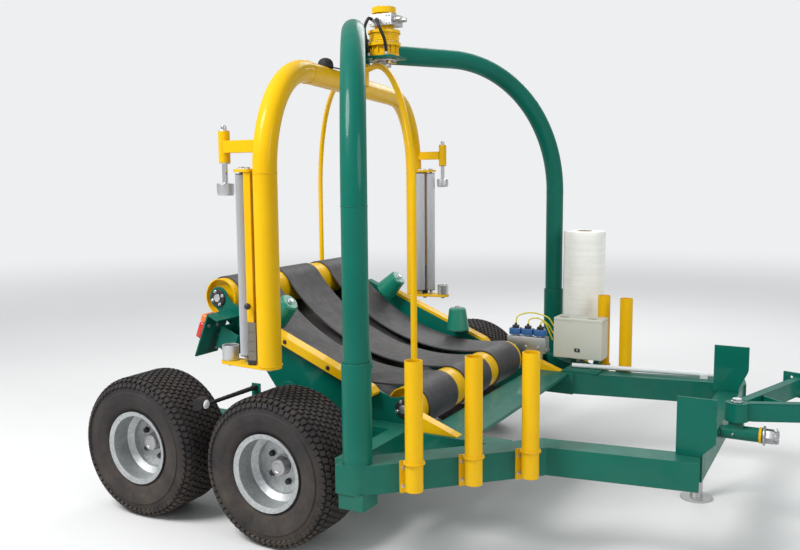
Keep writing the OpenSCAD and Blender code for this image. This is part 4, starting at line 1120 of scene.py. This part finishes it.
swivel_pin()
swivel_trim()

# %% [markdown]
# Bolts say how the machine comes apart: two on each post's flat, four in each roller bearing, three along
# each wear bar, three in each lamp bracket and a nut on each cone. The drawbar is welded, so it has beads.

# %% Bolts of the frame and the table, welds of the drawbar
ARCH_Y = 1160.0
RAILS = ((Vector((0.0, ARCH_Y)), Vector((1.0, -1.0)).normalized()),
         (Vector((425.0, 735.0)), Vector((735.0, 129.0)).normalized()))
POST_FEET = ((198, -1, 0), (441, -1, 0), (682, -1, 0), (198, 1, 0), (441, 1, 0), (120, 1, 1))
POST_OUT = 100.3
ROLLER_END = 0.57
ROLLER_HEIGHT = 0.216
CONE_FOOT = (0.26, 0.545, 0.246)
CONE_LEAN = math.radians(24)
DRAWBAR_YAW = math.radians(47)
DRAWBAR_SPREAD = math.radians(24.5)


def beside_rail(along, sign, rail, across, height):
    """A place so far along one of the frame's two rails and so far out from it, and the way out."""
    begin, way = RAILS[rail]
    out = Vector((-way.y, way.x))
    spot = begin + way * along + out * across
    return at(spot.x, sign * spot.y, height), (out.x, sign * out.y, 0.0)


def post_bolts():
    bm = bmesh.new()
    for along, sign, rail in POST_FEET:
        for height in (386.0, 458.0):
            bolt(bm, *beside_rail(along - 34.0, sign, rail, POST_OUT - 40.0, height), 0.0052)
    piece(bm, "post_bolts", plated_steel, "frame")


def table_bolts():
    steel, dark = bmesh.new(), bmesh.new()
    for sign in SIDES:
        face = PLATE_FACE * sign
        for end in (-1, 1):
            seat = on_table @ shift(ROLLER_END * end, face, ROLLER_HEIGHT) @ swing(-sign * QUARTER, "X")
            drum(dark, seat, 0.045, 0.009, 40, 0.042, bevel=0.002)
            drum(steel, seat @ up(0.009), 0.0195, 0.005, 32, bevel=0.001)
            for number in range(4):
                turn = math.tau * (number + 0.5) / 4
                spot = seat @ Vector((0.034 * math.cos(turn), 0.034 * math.sin(turn), 0.0086))
                bolt(steel, spot, seat.to_3x3() @ Vector((0, 0, 1)), 0.0042)
        for x in (-0.09, 0.17, 0.38):
            spot = on_table @ Vector((x, face + sign * 0.06, 0.226))
            bolt(dark, spot, (0, sign, 0), 0.005)
        for end in (-1, 1):
            x, y, z = CONE_FOOT
            top = on_table @ shift(x * end, y * sign, z) @ swing(-CONE_LEAN * end, "Y")
            drum(steel, top @ up(0.1278), 0.016, 0.003, 32, bevel=0.0006)
            drum(steel, top @ up(0.1306), 0.0125, 0.009, 6)
            bead(dark, top @ up(0.0035), 0.0632, 0.0022, 48)
        for z in (0.155, 0.06, -0.01):
            spot = on_table @ Vector((-0.4822, sign * 0.64, z))
            bolt(steel, spot, on_table.to_3x3() @ Vector((1, 0, 0)), 0.0052)
    piece(steel, "table_bolts", plated_steel, "table")
    piece(dark, "bearing_flanges", black_plastic, "table")


def drawbar_welds():
    beads = bmesh.new()
    yaw = shift(*at(*YAW_PIN)) @ swing(DRAWBAR_YAW)
    for side in (-1, 1):
        arm = yaw @ swing(side * DRAWBAR_SPREAD)
        for across in (-0.0204, 0.0204):
            for height in (0.001, 0.079):
                run = [arm @ Vector((x, across, height)) for x in (0.06, 0.2, 0.4, 0.6, 0.639)]
                tube_along(beads, run, 0.0018, 6, per_span=2)
        for height in (0.0, 0.08):
            run = [arm @ Vector((0.6385, y, height)) for y in (-0.022, -0.008, 0.008, 0.022)]
            tube_along(beads, run, 0.003, 8, per_span=2)
    bead(beads, yaw @ up(0.0802), 0.0498, 0.002, 48)
    piece(beads, "drawbar_welds", green_enamel, "hitch", sharp=60.0)


post_bolts()
table_bolts()
drawbar_welds()

# %% [markdown]
# A switch on the right side plate tells the controls that the table is down: a round body on a hex nut, a
# dark rod that ends in a bright tip, and a short loop of cable back into the plate.

# %% Table switch
def table_switch():
    bm = bmesh.new()
    face = -PLATE_FACE
    seat = on_table @ shift(0.078, face, 0.016) @ swing(QUARTER, "X")
    drum(bm, seat, 0.017, 0.006, 6)
    drum(bm, seat @ up(0.006), 0.012, 0.02, 32, bevel=0.002, index=1)
    drum(bm, seat @ up(0.026), 0.015, 0.006, 32, bevel=0.0015)
    rod = [on_table @ Vector(point) for point in (
        (0.085, face - 0.018, 0.018), (0.15, face - 0.02, 0.022), (0.22, face - 0.02, 0.026))]
    tube_along(bm, rod, 0.0055, 14, index=1, per_span=2)
    tip = facing(rod[-1], rod[-1] - rod[-2])
    drum(bm, tip, 0.0062, 0.03, 24, 0.0045)
    loop = [on_table @ Vector(point) for point in (
        (0.082, face - 0.016, 0.01), (0.1, face - 0.024, -0.012), (0.14, face - 0.024, -0.022),
        (0.178, face - 0.012, -0.016), (0.186, face + 0.002, -0.004))]
    tube_along(bm, loop, 0.004, 10, index=1)
    piece(bm, "table_switch", [plated_steel, black_plastic], "table")


table_switch()

# %% [markdown]
# Weld beads again, now in green: round each arch leg at its foot, its socket and its bend, along the crossbar
# and round the head of the arch. Each film post has two yellow rings, at its collar and at its top.

# %% Frame welds
LEG_BEADS = ((0.4768, 0.0582, 0.0032), (0.8698, 0.0548, 0.0028), (1.465, 0.0509, 0.002))
POST_RINGS = ((484.0, 0.0422, 0.0014), (883.2, 0.0333, 0.0012))


def frame_welds():
    bm, yellow = bmesh.new(), bmesh.new()
    for sign in SIDES:
        leg = shift(*at(0, sign * ARCH_Y, 0))
        for height, radius, thickness in LEG_BEADS:
            bead(bm, leg @ up(height), radius, thickness, 48)
        seam = [at(1060, sign * y, FRAME_TOP + 0.4) for y in (60, 160, 260, 360, 460)]
        tube_along(bm, seam, 0.0022, 6, per_span=2)
    for along, sign, rail in POST_FEET:
        for height, radius, thickness in POST_RINGS:
            middle = beside_rail(along, sign, rail, POST_OUT, height)[0]
            bead(yellow, shift(*middle), radius, thickness, 40)
    head = shift(*at(-700, 0, 2153))
    bead(bm, head @ up(0.1215), 0.0745, 0.0025, 48)
    bead(bm, head, 0.0752, 0.0025, 48)
    piece(bm, "frame_welds", green_enamel, "frame", sharp=60.0)
    piece(yellow, "post_rings", yellow_enamel, "frame", sharp=60.0)


frame_welds()

# %% [markdown]
# The stretcher unit has its own small hardware: a bright cap plate over each pair of rollers, a black ball
# knob on its latch, dark ribs and a base for its gear case, bolts through its plates and two bright rings on
# the sleeve over the film.

# %% Stretcher hardware
CAP_PLATE = 1.6078
FOOT_PLATE = 0.7882


def stretcher_hardware():
    steel, dark, alloy = bmesh.new(), bmesh.new(), bmesh.new()
    for turn in HALVES:
        half = on_arm(turn)
        for x, y in ((1.085, -0.124), (1.06, -0.062)):
            bolt(steel, half @ Vector((x, y, CAP_PLATE)), (0, 0, 1), 0.007)
        bolt(steel, half @ Vector((1.133, -0.073, CAP_PLATE)), (0, 0, 1), 0.006)
        for x, y in ((ARM_REACH, 0.0), ROLL_PLACE, (1.06, -0.09)):
            bolt(steel, half @ Vector((x, y, FOOT_PLATE)), (0, 0, -1), 0.008)
        block(alloy, half @ shift(1.0725, -0.093, 1.6095), (0.05, 0.095, 0.003), bevel=0.001)
        stem = half @ shift(1.1455, -0.073, 1.05) @ swing(QUARTER, "Y")
        drum(steel, stem, 0.0045, 0.014, 16)
        bmesh.ops.create_uvsphere(dark, u_segments=24, v_segments=16, radius=0.0135, matrix=stem @ up(0.024))
        case = half @ shift(1.13, -0.07, 0)
        block(dark, case @ up(0.811), (0.0385, 0.0385, 0.021), bevel=0.0015)
        for height in (0.86, 0.9, 0.94):
            block(dark, case @ shift(0.018, 0, height), (0.0015, 0.03, 0.0015))
        collar = half @ shift(*ROLL_PLACE, 0)
        for height in (1.6345, 1.7655):
            bead(alloy, collar @ up(height), 0.0185, 0.0045, 32)
    piece(steel, "stretcher_bolts", plated_steel, "arm")
    piece(dark, "stretcher_knobs", black_plastic, "arm")
    piece(alloy, "stretcher_caps", drawn_alloy, "arm")


stretcher_hardware()

# %% [markdown]
# A pale studio: a floor that keeps the shadow and fades into the backdrop, a dome that only the camera sees
# as near white, a large soft key from the photographer's left, a weak fill from the right and a lamp behind.

# %% Floor, world and lamps
BACKDROP = (0.9, 0.91, 0.92, 1.0)
BACKDROP_STRENGTH = 0.95
LAMP_AIM = Vector((0.0, 0.0, 0.9))


def floor():
    mesh = bpy.data.meshes.new("floor")
    bm = bmesh.new()
    bmesh.ops.create_grid(bm, x_segments=1, y_segments=1, size=60.0)
    bm.to_mesh(mesh)
    bm.free()
    ground = bpy.data.objects.new("floor", mesh)
    scene.collection.objects.link(ground)
    plain = Finish("pale_floor", (0.74, 0.74, 0.73, 1.0), 0.9, edge=0.001)
    plain.tint(plain.noise(0.7), (0.70, 0.70, 0.69, 1.0), 0.5)
    material = plain.done()
    tree = plain.tree
    away = put(tree, "VectorMath", operation="LENGTH")
    fade = put(tree, "MapRange", {"From Min": 3.5, "From Max": 15.0}, interpolation_type="SMOOTHSTEP")
    glow = put(tree, "Emission", {"Color": BACKDROP, "Strength": BACKDROP_STRENGTH})
    blend = put(tree, "MixShader")
    wire(tree, (plain.place, away.inputs[0]), (away, "Value", fade, "Value"),
         (fade, "Result", blend, 0), (plain.shader, 0, blend, 1),
         (glow, 0, blend, 2), (blend, 0, tree.nodes["Material Output"], "Surface"))
    mesh.materials.append(material)


def sky_dome():
    world = bpy.data.worlds.new("studio")
    scene.world = world
    world.use_nodes = True
    tree = world.node_tree
    tree.nodes.clear()
    light = put(tree, "Background", {"Color": (0.93, 0.96, 1.0, 1.0), "Strength": 0.58})
    seen = put(tree, "Background", {"Color": BACKDROP, "Strength": BACKDROP_STRENGTH})
    path = put(tree, "LightPath")
    mix = put(tree, "MixShader")
    out = put(tree, "OutputWorld")
    wire(tree, (path, "Is Camera Ray", mix, 0), (light, 0, mix, 1),
         (seen, 0, mix, 2), (mix, 0, out, "Surface"))


def soft_lamp(name, place, size, watts):
    lamp = bpy.data.lights.new(name, "AREA")
    lamp.shape = "DISK"
    lamp.size = size
    lamp.energy = watts
    holder = bpy.data.objects.new(name, lamp)
    holder.location = place
    holder.rotation_mode = "QUATERNION"
    holder.rotation_quaternion = (LAMP_AIM - Vector(place)).to_track_quat("-Z", "Y")
    scene.collection.objects.link(holder)


floor()
sky_dome()
soft_lamp("key", (-2.6, -4.8, 6.2), 3.2, 520.0)
soft_lamp("fill", (5.0, -1.5, 3.5), 3.0, 90.0)
soft_lamp("back", (-1.0, 5.5, 5.0), 4.0, 160.0)
